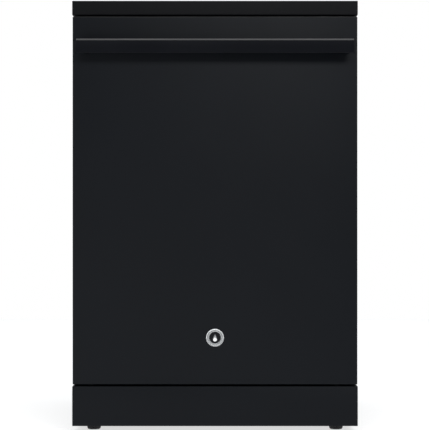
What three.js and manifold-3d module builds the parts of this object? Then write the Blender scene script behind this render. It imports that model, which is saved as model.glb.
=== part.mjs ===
// Freestanding dishwasher with its own worktop lid, a drop-down door with a wide bar handle, and a plinth.
// Millimetres. +Z is up and the door faces -Y. The origin is on the floor, under the middle of the machine.
import * as THREE from 'three';
import { mergeVertices } from 'three/addons/utils/BufferGeometryUtils.js';
import Module from 'manifold-3d';

const wasm = await Module();
wasm.setup();

// Overall sizes
const lidWidth = 598;
const bodyDepth = 600; // door face to the lid's rear edge
const lidThickness = 30;
const doorHeight = 770;
const plinthHeight = 83;
const floorClearance = 14; // under the plinth
const lidGap = 3.5; // lid to door
const plinthGap = 4; // door to plinth
const sideInset = 1; // door and side panels stand in from the ends of the lid

// Sheet, walls and clearances
const skin = 0.8; // door's outer panel
const sheet = 0.8; // cabinet and tub steel
const insulation = 3; // sound-deadening mat inside the door
const wall = 3; // plastic mouldings
const gap = 0.3; // between pieces that touch
const running = 0.4; // between a moving piece and the hole it moves in

// Door
const doorDepth = 37.3; // door face to the back of its shell
const doorSeam = 7; // door shell to the cabinet's front
const doorEdgeRadius = 3;
const linerRise = 20.9; // raised middle of the liner, above its flange
const linerMargin = 36; // flange round the raised middle
const linerFoot = 70; // door's bottom edge to the raised middle
const hingeInset = 9; // hinge axis behind the door face and above the door's bottom edge
const pinRadius = 3;
const hingePlate = 3;
const hingeSpread = 265; // middle of the machine to the bracket
const hingeReach = 196; // hinge arm, up inside the door

// Handle and badge
const handleLength = 578;
const handleHeight = 32;
const handleThickness = 12;
const handleReach = 38; // door face to the front of the bar
const handleDrop = 48.2; // door's top edge to the top of the bar
const postWidth = 20;
const postInset = 8; // end of the bar to the post
const badgeRadius = 19;
const badgeThickness = 2.4;
const badgeRise = 98.4; // door's bottom edge to the middle of the badge

// Controls in the top edge of the door
const controlHeight = 18;
const controlWall = 2.5;
const buttonCount = 4;
const buttonWidth = 22;
const buttonDepth = 12;
const buttonPitch = 34;
const buttonProud = 1;
const buttonHeight = 8;
const buttonsFrom = 70; // middle of the machine to the first button
const displayWidth = 90;
const displayDepth = 14;

// Dispenser in the liner
const dispenserWidth = 170;
const dispenserHeight = 150;
const dispenserProud = 3;
const dispenserRise = 240; // door's bottom edge to the dispenser
const cupWidth = 66;
const cupHeight = 56;
const cupDepth = 28;
const lidOverlap = 4;
const dispenserLidThickness = 3.5;
const rinseCapRadius = 24;
const rinseCapThickness = 5;

// Tub
const tubSideSpace = 26; // side panel to tub wall
const tubFloorRise = 55; // door's bottom edge to the tub floor
const tubCeilingDrop = 23.5; // lid to the tub ceiling
const tubBackSpace = 39;
const gasketWidth = 11;
const gasketOverlap = 4;
const trackWidth = 25.5;
const trackHeight = 8.9;
const floorLip = 10;

// Base, pumps and feet
const trayInset = 13;
const trayRise = 22;
const trayHeight = 98;
const trayFrontSpace = 53; // door face to the tray
const trayRearSpace = 7;
const plinthDepth = 42;
const plinthSheet = 1.5;
const plinthArmSpread = 150;
const footSpread = 258;
const footRadius = 14.5;
const footHeight = 21.5;
const footChamfer = 2;
const footFrontSpace = 66; // door face to the front feet
const footRearSpace = 34;
const stemRadius = 4;
const stemLength = 44;
const bossRadius = 12;
const bossHeight = 48;
const sideFlange = 18;
const sideRise = 12;
const sumpX = 75;
const sumpY = -45;
const sumpRadius = 60;
const sumpDepth = 80;
const filterRadius = 40;
const filterLength = 62;
const filterPlateRadius = 84;
const hubY = 22; // centre of the three spray arms
const riserRadius = 13;
const pumpRadius = 40;
const pumpLength = 150;
const saltX = -190;
const saltY = 180;
const saltNeckRadius = 29;
const saltCapRadius = 33;
const portHeight = 85;
const rearPanelRise = 130;

// Spray arms
const armWidth = 34;
const armHeight = 12;
const lowerArmLength = 450;
const upperArmLength = 420;
const ceilingArmLength = 250;
const armClearance = 20; // tub floor to the underside of the lower arm

// Racks
const wire = 4;
const uprightTrim = 0.25; // uprights are this much slimmer all round than the rails they join
const lowerRackSpace = 22; // tub wall to the lower rack
const lowerRackRise = 47; // tub floor to the rack's underside
const lowerRackHeight = 128;
const lowerRackFront = 47; // liner to the foot of the rack's front
const lowerRackLean = 23; // how far the front leans out to its top
const lowerRackRear = 35; // tub back to the rack
const wheelRadius = 15;
const wheelWidth = 10;
const axleRadius = 3;
const frontWheelSpace = 142; // liner to the front axle
const rearWheelSpace = 80; // tub back to the rear axle
const upperRackSpace = 25; // tub wall to the upper rack
const upperRackRise = 330;
const upperRackHeight = 120;
const upperRackFront = 27;
const runnerWidth = 6;
const runnerHeight = 15;
const runnerRise = 45; // rack's underside to the runner
const runnerInset = 5; // rack front to the runner's front end
const guideLength = 40;
const guideLip = 8;
const guideClearance = 1.5;
const basketWidth = 84;
const basketLength = 220;
const basketHeight = 116;
const basketWall = 2.5;

// Heights, from the floor up
const plinthTop = floorClearance + plinthHeight;
const doorBottom = plinthTop + plinthGap;
const doorTop = doorBottom + doorHeight;
const lidBottom = doorTop + lidGap;
const lidTop = lidBottom + lidThickness;

// Depths, from the rear wall forward
const rear = (bodyDepth + handleReach) / 2;
const doorFace = rear - bodyDepth;
const handleFace = doorFace - handleReach;
const doorInside = doorFace + doorDepth;
const flangeBack = doorInside + sheet;
const linerFace = flangeBack + linerRise;
const cabinetFront = doorInside + doorSeam;

// Widths, from the middle out
const lidSide = lidWidth / 2;
const bodySide = lidSide - sideInset;
const tubSide = bodySide - tubSideSpace;
const lowerRackSide = tubSide - lowerRackSpace;
const upperRackSide = tubSide - upperRackSpace;
const tubFront = cabinetFront + gap + sheet;
const tubBack = rear - tubBackSpace;
const tubFloor = doorBottom + tubFloorRise;
const tubCeiling = lidBottom - tubCeilingDrop;
const axisY = doorFace + hingeInset;
const axisZ = doorBottom + hingeInset;

const finishes = {
  blackLaminate: [0x1d1e21, 0.55, 0],
  blackEnamel: [0x202125, 0.45, 0.3],
  blackPlastic: [0x17181a, 0.6, 0],
  greyPlastic: [0x8d9194, 0.55, 0],
  whitePlastic: [0xd9dbd9, 0.5, 0],
  stainless: [0xb4b6b8, 0.32, 1],
  galvanised: [0x9aa0a3, 0.5, 0.9],
  coatedWire: [0x9da1a6, 0.45, 0.1],
  rubber: [0x141414, 0.85, 0],
  chrome: [0xd0d2d4, 0.12, 1],
  darkGlass: [0x060608, 0.08, 0],
};
const finishMaterials = {};
for (const [name, [color, roughness, metalness]] of Object.entries(finishes)) {
  finishMaterials[name] = new THREE.MeshStandardMaterial({ name, color, roughness, metalness });
}

// A closed three.js geometry as a solid, with shared corners merged. Its corners are set on a fine grid,
// so that the faces of pieces that meet lie in exactly one plane.
const gridSteps = 1024; // to the millimetre
function solidOf(geometry) {
  const plain = geometry.index ? geometry.toNonIndexed() : geometry.clone();
  plain.deleteAttribute('normal');
  plain.deleteAttribute('uv');
  const corners = plain.attributes.position.array;
  corners.forEach((value, i) => {
    corners[i] = Math.round(value * gridSteps) / gridSteps;
  });
  const merged = mergeVertices(plain, 1e-4);
  const vertProperties = new Float32Array(merged.attributes.position.array);
  const triVerts = new Uint32Array(merged.index.array);
  return new wasm.Manifold(new wasm.Mesh({ numProp: 3, vertProperties, triVerts }));
}

function geometryOf(solid) {
  const mesh = solid.getMesh();
  const geometry = new THREE.BufferGeometry();
  geometry.setAttribute('position', new THREE.BufferAttribute(mesh.vertProperties, 3));
  geometry.setIndex(new THREE.BufferAttribute(mesh.triVerts, 1));
  return geometry;
}

function block(x0, x1, y0, y1, z0, z1) {
  const geometry = new THREE.BoxGeometry(Math.abs(x1 - x0), Math.abs(y1 - y0), Math.abs(z1 - z0));
  return solidOf(geometry.translate((x0 + x1) / 2, (y0 + y1) / 2, (z0 + z1) / 2));
}

// A round bar along one axis. The centre's other two coordinates are given in x, y, z order.
function rod(axis, radius, from, to, centreA, centreB, sides = 20) {
  const geometry = new THREE.CylinderGeometry(radius, radius, Math.abs(to - from), sides);
  const middle = (from + to) / 2;
  if (axis === 'x') return solidOf(geometry.rotateZ(Math.PI / 2).translate(middle, centreA, centreB));
  if (axis === 'y') return solidOf(geometry.translate(centreA, middle, centreB));
  return solidOf(geometry.rotateX(Math.PI / 2).translate(centreA, centreB, middle));
}

// A turned piece about a vertical line. The profile is [radius, height] pairs and ends on the axis.
function turned(profile, x, y, sides = 32) {
  const points = profile.map(([radius, height]) => new THREE.Vector2(radius, height));
  return solidOf(new THREE.LatheGeometry(points, sides).rotateX(Math.PI / 2).translate(x, y, 0));
}

// A flat outline in Y and Z, made solid between two values of X.
function plateAcross(shape, x0, x1) {
  const settings = { depth: Math.abs(x1 - x0), bevelEnabled: false, curveSegments: 6 };
  const geometry = new THREE.ExtrudeGeometry(shape, settings);
  const toYZ = new THREE.Matrix4().makeBasis(
    new THREE.Vector3(0, 1, 0),
    new THREE.Vector3(0, 0, 1),
    new THREE.Vector3(1, 0, 0),
  );
  return solidOf(geometry.applyMatrix4(toYZ).translate(Math.min(x0, x1), 0, 0));
}

// A rectangle with a radius for each corner: low-low, high-low, high-high, low-high.
function roundedRectangle(u0, u1, v0, v1, [r0, r1, r2, r3]) {
  const shape = new THREE.Shape();
  shape.moveTo(u0 + r0, v0);
  shape.lineTo(u1 - r1, v0);
  if (r1 > 0) shape.absarc(u1 - r1, v0 + r1, r1, -Math.PI / 2, 0);
  shape.lineTo(u1, v1 - r2);
  if (r2 > 0) shape.absarc(u1 - r2, v1 - r2, r2, 0, Math.PI / 2);
  shape.lineTo(u0 + r3, v1);
  if (r3 > 0) shape.absarc(u0 + r3, v1 - r3, r3, Math.PI / 2, Math.PI);
  shape.lineTo(u0, v0 + r0);
  if (r0 > 0) shape.absarc(u0 + r0, v0 + r0, r0, Math.PI, Math.PI * 1.5);
  return shape;
}

function joined(solids) {
  return solids.reduce((sum, solid) => sum.add(solid));
}

function spread(first, last, count) {
  return Array.from({ length: count }, (unused, i) => first + ((last - first) * i) / (count - 1));
}

const dishwasher = new THREE.Group();
dishwasher.name = 'dishwasher';

function place(name, solid, finish) {
  const mesh = new THREE.Mesh(geometryOf(solid), finishMaterials[finish].clone());
  mesh.name = name;
  dishwasher.add(mesh);
}

const sides = [['left', -1], ['right', 1]];

// Lid
const lidEdges = [doorEdgeRadius, 0, 0, doorEdgeRadius];
const lidSection = roundedRectangle(doorFace, rear, lidBottom, lidTop, lidEdges);
place('top_lid', plateAcross(lidSection, -lidSide, lidSide), 'blackLaminate');

// Side panels: sheets with a flange turned in at the front and the rear
const rearSkin = rear - 1.3; // the rear panel's outer face stays just inside the lid's edge
const sideRear = rearSkin - sheet - gap;
for (const [name, side] of sides) {
  const outer = block(
    side * (bodySide - sideFlange), side * bodySide,
    cabinetFront, sideRear, sideRise, lidBottom - gap,
  );
  const inside = block(
    side * (bodySide - sideFlange - 1), side * (bodySide - sheet),
    cabinetFront + sheet, sideRear - sheet, sideRise - 1, lidBottom,
  );
  place(`side_panel_${name}`, outer.subtract(inside), 'blackEnamel');
}

place(
  'rear_panel',
  block(-bodySide + 2, bodySide - 2, rearSkin - sheet, rearSkin, rearPanelRise, lidBottom - gap),
  'galvanised',
);

// Plinth: a shallow tray, open at the back
place(
  'plinth',
  block(-lidSide, lidSide, doorFace, doorFace + plinthDepth, floorClearance, plinthTop).subtract(
    block(
      -lidSide + plinthSheet, lidSide - plinthSheet, doorFace + plinthSheet, doorFace + plinthDepth + 1,
      floorClearance + plinthSheet, plinthTop - plinthSheet,
    ),
  ),
  'blackEnamel',
);

// Base tray with four bosses for the feet and two arms that hold the plinth
const trayTop = trayRise + trayHeight;
const trayFront = doorFace + trayFrontSpace;
const trayRear = rear - trayRearSpace;
const traySide = bodySide - trayInset;
const footPlaces = [];
for (const [name, side] of sides) {
  footPlaces.push([`front_${name}`, side * footSpread, doorFace + footFrontSpace]);
  footPlaces.push([`rear_${name}`, side * footSpread, rear - footRearSpace]);
}
const inletX = 220;
const drainX = -230;
const glandX = -180;
const inletRadius = 11.5;
const drainRadius = 10.5;
const glandRadius = 9;
const trayHollow = block(
  -traySide + wall, traySide - wall, trayFront + wall, trayRear - wall, trayRise + wall, trayTop + 1,
);
let baseTray = block(-traySide, traySide, trayFront, trayRear, trayRise, trayTop).subtract(trayHollow);
for (const [, x, y] of footPlaces) {
  baseTray = baseTray.add(rod('z', bossRadius, trayRise + wall / 2, trayRise + bossHeight, x, y, 16));
  const stemHole = rod('z', stemRadius + running, trayRise - 1, trayRise + bossHeight + 1, x, y, 12);
  baseTray = baseTray.subtract(stemHole);
}
for (const side of [-1, 1]) {
  const armX = side * plinthArmSpread;
  baseTray = baseTray.add(
    block(armX - 12, armX + 12, doorFace + plinthSheet + gap, trayFront + 1, trayRise + 20, trayRise + 40),
  );
}
for (const [x, radius] of [[inletX, inletRadius], [drainX, drainRadius], [glandX, glandRadius]]) {
  baseTray = baseTray.subtract(rod('y', radius + gap, trayRear - wall - 1, trayRear + 1, x, portHeight, 16));
}
place('base_tray', baseTray, 'blackPlastic');

// Feet: a disc to turn by hand on a threaded stem
for (const [name, x, y] of footPlaces) {
  const profile = [
    [0, 0],
    [footRadius - footChamfer, 0],
    [footRadius, footChamfer],
    [footRadius, footHeight - footChamfer],
    [footRadius - footChamfer, footHeight],
    [stemRadius, footHeight],
    [stemRadius, footHeight + stemLength],
    [0, footHeight + stemLength],
  ];
  place(`foot_${name}`, turned(profile, x, y, 20), 'blackPlastic');
}

// Cross rail over the tub, with a socket for the door's latch hook
const railFront = tubFront + sheet + gap;
const railDepth = 24;
const railBottom = tubCeiling + sheet + gap;
const hookSide = 18;
const hookBottom = railBottom + 6;
const hookTop = hookBottom + 5;
const hookReach = 9;
const railSide = bodySide - sheet - gap;
place(
  'front_rail',
  block(-railSide, railSide, railFront, railFront + railDepth, railBottom, lidBottom - gap)
    .subtract(
      block(
        -railSide + 8, railSide - 8, railFront + sheet, railFront + railDepth + 1,
        railBottom + sheet, lidBottom - gap - sheet,
      ),
    )
    .subtract(
      block(-hookSide - 3, hookSide + 3, railFront - 1, railFront + sheet + 1, hookBottom - 2.5, hookTop + 3),
    ),
  'galvanised',
);

// Tub: ceiling and side walls in one bent sheet, with a narrow flange round the front
const tubWrapBottom = tubFloor + sheet + gap;
const flangeSide = bodySide - sideFlange - gap;
place(
  'tub_wrap',
  block(-tubSide - sheet, tubSide + sheet, tubFront, tubBack, tubWrapBottom, tubCeiling + sheet)
    .add(block(-flangeSide, flangeSide, tubFront, tubFront + sheet, tubWrapBottom, tubCeiling + sheet))
    .subtract(block(-tubSide, tubSide, tubFront - 1, tubBack + 1, tubWrapBottom - 1, tubCeiling)),
  'stainless',
);
place(
  'tub_back',
  block(
    -tubSide - sheet, tubSide + sheet, tubBack + gap, tubBack + gap + sheet, tubFloor, tubCeiling + sheet,
  ),
  'stainless',
);

// Tub floor, with tracks for the lower rack's wheels
const floorTop = tubFloor + sheet;
let floorPan = block(-tubSide - sheet, tubSide + sheet, tubFront, tubBack, tubFloor, floorTop);
floorPan = floorPan.add(block(-tubSide, tubSide, tubFront, tubFront + sheet, tubFloor - floorLip, tubFloor));
for (const side of [-1, 1]) {
  const trackInner = side * (tubSide - gap - trackWidth);
  floorPan = floorPan.add(
    block(trackInner, side * (tubSide - gap), tubFront + 20, tubBack - 15, tubFloor, floorTop + trackHeight),
  );
}
floorPan = floorPan.subtract(rod('z', sumpRadius - wall, tubFloor - 1, floorTop + 1, sumpX, sumpY, 32));
floorPan = floorPan.subtract(rod('z', riserRadius + gap, tubFloor - 1, floorTop + 1, 0, hubY, 24));
floorPan = floorPan.subtract(rod('z', saltNeckRadius + gap, tubFloor - 1, floorTop + 1, saltX, saltY, 24));
place('tub_floor', floorPan, 'stainless');

// Door seal round the tub's mouth, open at the bottom
const gasketOut = tubSide + gasketOverlap;
place(
  'tub_gasket',
  block(
    -gasketOut, gasketOut, flangeBack + gap, tubFront - gap, tubWrapBottom, tubCeiling + gasketOverlap,
  ).subtract(
    block(
      -gasketOut + gasketWidth, gasketOut - gasketWidth, flangeBack, tubFront,
      tubWrapBottom - 1, tubCeiling + gasketOverlap - gasketWidth,
    ),
  ),
  'rubber',
);

// Sump, filters and pumps
const sumpBottom = tubFloor - sumpDepth;
place(
  'sump',
  turned(
    [
      [0, sumpBottom],
      [sumpRadius, sumpBottom],
      [sumpRadius, tubFloor - gap],
      [sumpRadius - wall, tubFloor - gap],
      [sumpRadius - wall, sumpBottom + wall],
      [0, sumpBottom + wall],
    ],
    sumpX, sumpY,
  ),
  'greyPlastic',
);
const filterTop = floorTop + gap + sheet;
place(
  'filter_plate',
  rod('z', filterPlateRadius, floorTop + gap, filterTop, sumpX, sumpY, 40).subtract(
    rod('z', filterRadius + running, floorTop, filterTop + 1, sumpX, sumpY, 32),
  ),
  'stainless',
);
place(
  'filter_cylinder',
  turned(
    [
      [0, filterTop - 2],
      [filterRadius - wall, filterTop - 2],
      [filterRadius - wall, filterTop - filterLength],
      [filterRadius, filterTop - filterLength],
      [filterRadius, filterTop + gap],
      [filterRadius + 4, filterTop + gap],
      [filterRadius + 4, filterTop + 4],
      [16, filterTop + 4],
      [14, filterTop + 13],
      [0, filterTop + 13],
    ],
    sumpX, sumpY,
  ),
  'greyPlastic',
);
const armBottom = floorTop + armClearance;
const motorZ = trayTop - pumpRadius - 2;
place(
  'circulation_pump',
  joined([
    rod('x', pumpRadius, -30 - pumpLength, -30, hubY, motorZ),
    rod('x', pumpRadius + 5, -31, 7, hubY, motorZ),
    rod('z', riserRadius, motorZ, armBottom - gap, 0, hubY),
    block(-150, -60, hubY - 20, hubY + 20, trayRise + wall + gap, motorZ),
  ]),
  'greyPlastic',
);
const drainPumpX = sumpX + sumpRadius + 40;
const drainPumpZ = sumpBottom + 12;
place(
  'drain_pump',
  joined([
    rod('y', 24, sumpY - 45, sumpY + 45, drainPumpX, drainPumpZ),
    rod('x', 10, sumpX + sumpRadius + gap, drainPumpX, sumpY, drainPumpZ),
    block(drainPumpX - 18, drainPumpX + 18, sumpY - 30, sumpY + 30, trayRise + wall + gap, drainPumpZ),
  ]),
  'blackPlastic',
);

// Softener with its salt neck through the tub floor
place(
  'water_softener',
  block(saltX - 60, saltX + 60, saltY - 60, saltY + 60, trayRise + wall + gap, tubFloor - floorLip).add(
    rod('z', saltNeckRadius, tubFloor - floorLip - 1, floorTop, saltX, saltY),
  ),
  'whitePlastic',
);
place(
  'salt_cap',
  rod('z', saltCapRadius, floorTop + gap, floorTop + 7, saltX, saltY, 28).add(
    block(saltX - 26, saltX + 26, saltY - 4, saltY + 4, floorTop + 6, floorTop + 15),
  ),
  'greyPlastic',
);

// Connections in the tray's rear wall
const trayRearInside = trayRear - wall - gap;
place(
  'inlet_valve',
  block(inletX - 20, inletX + 20, trayRearInside - 46, trayRearInside, portHeight - 25, portHeight + 25)
    .add(rod('y', inletRadius, trayRearInside - 1, rear - 1.5, inletX, portHeight))
    .subtract(rod('y', inletRadius - 3, trayRearInside - 20, rear, inletX, portHeight)),
  'whitePlastic',
);
place(
  'drain_port',
  rod('y', drainRadius + 6, trayRearInside - 4, trayRearInside, drainX, portHeight)
    .add(rod('y', drainRadius, trayRearInside - 22, rear - 1.5, drainX, portHeight))
    .subtract(rod('y', drainRadius - 2.5, trayRearInside - 23, rear, drainX, portHeight)),
  'blackPlastic',
);
place(
  'cable_gland',
  rod('y', glandRadius + 4, trayRear + gap, trayRear + 4, glandX, portHeight)
    .add(rod('y', glandRadius, trayRearInside - 6, trayRear + 1, glandX, portHeight))
    .subtract(rod('y', glandRadius - 5, trayRearInside - 2, rear, glandX, portHeight)),
  'blackPlastic',
);

// Hinges: a fixed bracket with an eye, and an arm in the door with the pin
const bracketEye = 6;
const armEye = 7;
const bracketPlateFront = cabinetFront - 1;
for (const [name, side] of sides) {
  const bracket0 = side * hingeSpread;
  const bracket1 = side * (hingeSpread + hingePlate);
  const bracket = joined([
    rod('x', bracketEye, bracket0, bracket1, axisY, axisZ),
    block(bracket0, bracket1, axisY, trayFront - gap, axisZ - bracketEye, axisZ + bracketEye),
    block(bracket0, bracket1, bracketPlateFront, trayFront - gap, axisZ - 44, trayTop + 14),
    block(
      side * (hingeSpread - 15), bracket1,
      trayFront - gap - hingePlate, trayFront - gap, axisZ - 44, trayTop + 14,
    ),
  ]);
  place(
    `hinge_bracket_${name}`,
    bracket.subtract(rod('x', pinRadius + running, bracket0 - side, bracket1 + side, axisY, axisZ)),
    'galvanised',
  );
  const arm0 = bracket1 + side;
  const arm1 = arm0 + side * hingePlate;
  const arm = joined([
    rod('x', armEye, arm0, arm1, axisY, axisZ),
    block(arm0, arm1, axisY - armEye, axisY + armEye, axisZ, axisZ + 40),
    block(arm0, arm1, axisY - armEye, doorInside - 3, axisZ + 30, axisZ + hingeReach),
    rod('x', pinRadius, bracket0 - side * 2, arm0 + side, axisY, axisZ),
  ]);
  place(`hinge_arm_${name}`, arm, 'galvanised');
}

// Door shell: front skin with returned edges, slotted at the bottom for the hinge brackets
const shellEdges = [doorEdgeRadius, 0, 0, doorEdgeRadius];
const innerEdges = [doorEdgeRadius - skin, 0, 0, 0];
const shellSection = roundedRectangle(doorFace, doorInside, doorBottom, doorTop, shellEdges);
const hollowSection = roundedRectangle(
  doorFace + skin, doorInside + 5, doorBottom + skin, doorTop + 5, innerEdges,
);
let shell = plateAcross(shellSection, -bodySide, bodySide);
shell = shell.subtract(plateAcross(hollowSection, -bodySide + skin, bodySide - skin));
const notchClear = 1.5;
const armClear = 0.7; // bracket's plate to the side of its notch, by the hinge arm
const hingeNotches = sides.map(([, side]) => [
  side * (hingeSpread - notchClear),
  side * (hingeSpread + hingePlate + armClear),
]);
for (const [x0, x1] of hingeNotches) {
  shell = shell.subtract(
    block(x0, x1, axisY - bracketEye - 0.5, doorInside + 1, doorBottom - 1, doorBottom + skin + 1),
  );
}
place('door_outer_panel', shell, 'blackEnamel');

// Door liner: a flange with a raised middle and an opening for the dispenser
const linerSide = bodySide - skin - gap;
const raisedSide = linerSide - linerMargin + 1.5;
const raisedBottom = doorBottom + linerFoot;
const controlBottom = doorTop - controlHeight;
const raisedTop = controlBottom - 12;
const dispenserBottom = doorBottom + dispenserRise;
const dispenserTop = dispenserBottom + dispenserHeight;
const dispenserSide = dispenserWidth / 2;
let liner = block(-bodySide, bodySide, doorInside + gap, flangeBack, doorBottom + 2, controlBottom - gap);
liner = liner.add(block(-raisedSide, raisedSide, doorInside + gap, linerFace, raisedBottom, raisedTop));
liner = liner.subtract(
  block(
    -raisedSide + sheet, raisedSide - sheet, doorInside, linerFace - sheet,
    raisedBottom + sheet, raisedTop - sheet,
  ),
);
liner = liner.subtract(
  block(
    -dispenserSide - gap, dispenserSide + gap,
    doorInside, linerFace + 1, dispenserBottom - gap, dispenserTop + gap,
  ),
);
for (const [x0, x1] of hingeNotches) {
  liner = liner.subtract(block(x0, x1, doorInside, flangeBack + 1, doorBottom, axisZ + bracketEye + 2));
}
place('door_liner', liner, 'stainless');

place(
  'door_insulation',
  block(
    -hingeSpread + 10, hingeSpread - 10, doorFace + skin + gap, doorFace + skin + gap + insulation,
    doorBottom + 35, controlBottom - 10,
  ),
  'rubber',
);

// Control housing in the door's top edge, with its window and buttons
const housingFront = doorFace + skin + gap;
const housingBack = flangeBack;
const controlMiddle = (housingFront + housingBack) / 2;
const buttonPlaces = spread(buttonsFrom, buttonsFrom + buttonPitch * (buttonCount - 1), buttonCount);
let housing = block(-linerSide, linerSide, housingFront, housingBack, controlBottom, doorTop);
housing = housing.subtract(
  block(
    -linerSide + controlWall, linerSide - controlWall, housingFront + controlWall, housingBack - controlWall,
    controlBottom - 1, doorTop - controlWall,
  ),
);
for (const x of buttonPlaces) {
  housing = housing.subtract(
    block(
      x - buttonWidth / 2 - running, x + buttonWidth / 2 + running,
      controlMiddle - buttonDepth / 2 - running, controlMiddle + buttonDepth / 2 + running,
      doorTop - controlWall - 1, doorTop + 1,
    ),
  );
}
const windowSide = displayWidth / 2;
const windowDepth = displayDepth / 2;
housing = housing.subtract(
  block(
    -windowSide - gap, windowSide + gap, controlMiddle - windowDepth - gap, controlMiddle + windowDepth + gap,
    doorTop - controlWall - 1, doorTop + 1,
  ),
);
place('control_housing', housing, 'blackPlastic');
place(
  'display_window',
  block(
    -windowSide, windowSide,
    controlMiddle - windowDepth, controlMiddle + windowDepth, doorTop - controlWall, doorTop,
  ),
  'darkGlass',
);
buttonPlaces.forEach((x, i) => {
  place(
    `button_${i + 1}`,
    block(
      x - buttonWidth / 2, x + buttonWidth / 2,
      controlMiddle - buttonDepth / 2, controlMiddle + buttonDepth / 2,
      doorTop + buttonProud - buttonHeight, doorTop + buttonProud,
    ),
    'greyPlastic',
  );
});

// Latch hook on the door's back
place(
  'latch_hook',
  block(-hookSide, hookSide, flangeBack + gap, flangeBack + gap + 3, hookBottom - 1, doorTop - 3).add(
    block(-hookSide + 6, hookSide - 6, flangeBack + gap, railFront + hookReach, hookBottom, hookTop),
  ),
  'galvanised',
);

// Bar handle on two end posts, and the round badge
const handleSide = handleLength / 2;
const barTop = doorTop - handleDrop;
const barBottom = barTop - handleHeight;
place(
  'handle_bar',
  block(-handleSide, handleSide, handleFace, handleFace + handleThickness, barBottom, barTop),
  'blackEnamel',
);
for (const [name, side] of sides) {
  const postOuter = side * (handleSide - postInset);
  place(
    `handle_post_${name}`,
    block(
      postOuter, postOuter - side * postWidth, handleFace + handleThickness + gap, doorFace - gap,
      barBottom + 3, barTop - 3,
    ),
    'blackEnamel',
  );
}
place(
  'badge',
  rod('y', badgeRadius, doorFace - gap - badgeThickness, doorFace - gap, 0, doorBottom + badgeRise, 40),
  'chrome',
);

// Detergent dispenser: moulding with a cup, sliding lid, and the rinse-aid cap
const dispenserFace = linerFace + dispenserProud;
const cupX0 = -dispenserSide + 12;
const cupX1 = cupX0 + cupWidth;
const cupZ0 = dispenserBottom + 16;
const cupZ1 = cupZ0 + cupHeight;
const rinseX = dispenserSide - rinseCapRadius - 14;
const rinseZ = (dispenserBottom + dispenserTop) / 2;
place(
  'dispenser_housing',
  block(
    -dispenserSide, dispenserSide,
    dispenserFace - cupDepth - wall, dispenserFace, dispenserBottom, dispenserTop,
  )
    .subtract(block(cupX0, cupX1, dispenserFace - cupDepth, dispenserFace + 1, cupZ0, cupZ1)),
  'greyPlastic',
);
place(
  'dispenser_lid',
  block(
    cupX0 - lidOverlap, cupX1 + lidOverlap, dispenserFace + gap, dispenserFace + gap + dispenserLidThickness,
    cupZ0 - lidOverlap, cupZ1 + lidOverlap,
  ),
  'greyPlastic',
);
place(
  'rinse_aid_cap',
  rod('y', rinseCapRadius, dispenserFace + gap, dispenserFace + gap + rinseCapThickness, rinseX, rinseZ, 32),
  'greyPlastic',
);

// Spray arms: a flat blade with round ends on a hub
function sprayArm(length, bottom, hubBottom, hubTop) {
  const half = length / 2 - armWidth / 2;
  return joined([
    block(-half, half, hubY - armWidth / 2, hubY + armWidth / 2, bottom, bottom + armHeight),
    rod('z', armWidth / 2, bottom, bottom + armHeight, -half, hubY, 16),
    rod('z', armWidth / 2, bottom, bottom + armHeight, half, hubY, 16),
    rod('z', 24, hubBottom, hubTop, 0, hubY, 24),
  ]);
}
place(
  'lower_spray_arm',
  sprayArm(lowerArmLength, armBottom + 3, armBottom, armBottom + armHeight + 6),
  'greyPlastic',
);

// Upper rack, its runners, and the feed pipe under it
const upperRackBottom = tubFloor + upperRackRise;
const feedHeight = 14;
const upperFeedBottom = upperRackBottom - gap - feedHeight;
const upperArmTop = upperFeedBottom - gap;
place(
  'upper_spray_arm',
  sprayArm(upperArmLength, upperArmTop - armHeight - 1, upperArmTop - armHeight - 4, upperArmTop),
  'greyPlastic',
);

// Feed pipe up the tub's back and forward under its ceiling to the top arm
const pipeDepth = 17;
const pipeHalf = 15;
const pipeTop = tubCeiling - 4;
const pipeBottom = pipeTop - feedHeight;
place(
  'feed_pipe',
  joined([
    block(-pipeHalf, pipeHalf, tubBack - gap - pipeDepth, tubBack - gap, floorTop + gap, pipeTop),
    block(-pipeHalf, pipeHalf, hubY, tubBack - gap - 1, pipeBottom, pipeTop),
    rod('z', pipeHalf, pipeBottom, pipeTop, 0, hubY),
  ]),
  'greyPlastic',
);
const ceilingArmTop = pipeBottom - gap;
place(
  'ceiling_spray_arm',
  sprayArm(ceilingArmLength, ceilingArmTop - armHeight - 1, ceilingArmTop - armHeight - 4, ceilingArmTop),
  'greyPlastic',
);

// A wire basket: floor grid, uprights and two rails, with a front that leans out by lean
function wireBasket({ side, front, back, bottom, top, lean, along, across }) {
  const columns = spread(-side + wire / 2, side - wire / 2, along);
  const rows = spread(front + wire / 2, back - wire / 2, across);
  const half = wire / 2;
  const middle = (bottom + top) / 2;
  const bars = [];
  for (const x of columns) {
    bars.push(block(x - half, x + half, front, back, bottom, bottom + wire));
    bars.push(block(x - half, x + half, back - wire, back, bottom, top));
    const upright = new THREE.Shape();
    upright.moveTo(front + uprightTrim, bottom + uprightTrim);
    upright.lineTo(front + wire - uprightTrim, bottom + uprightTrim);
    upright.lineTo(front + wire - lean - uprightTrim, top - uprightTrim);
    upright.lineTo(front - lean + uprightTrim, top - uprightTrim);
    upright.closePath();
    bars.push(plateAcross(upright, x - half + uprightTrim, x + half - uprightTrim));
  }
  for (const y of rows) {
    bars.push(block(-side, side, y - half, y + half, bottom, bottom + wire));
    for (const end of [-1, 1]) {
      bars.push(block(end * (side - wire), end * side, y - half, y + half, bottom, top));
    }
  }
  for (const level of [middle, top - half]) {
    const levelLean = (lean * (level - bottom)) / (top - bottom);
    const levelFront = front - levelLean;
    bars.push(block(-side, side, levelFront, levelFront + wire, level - half, level + half));
    bars.push(block(-side, side, back - wire, back, level - half, level + half));
    for (const end of [-1, 1]) {
      bars.push(block(end * (side - wire), end * side, levelFront, back, level - half, level + half));
    }
  }
  return joined(bars);
}

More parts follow.
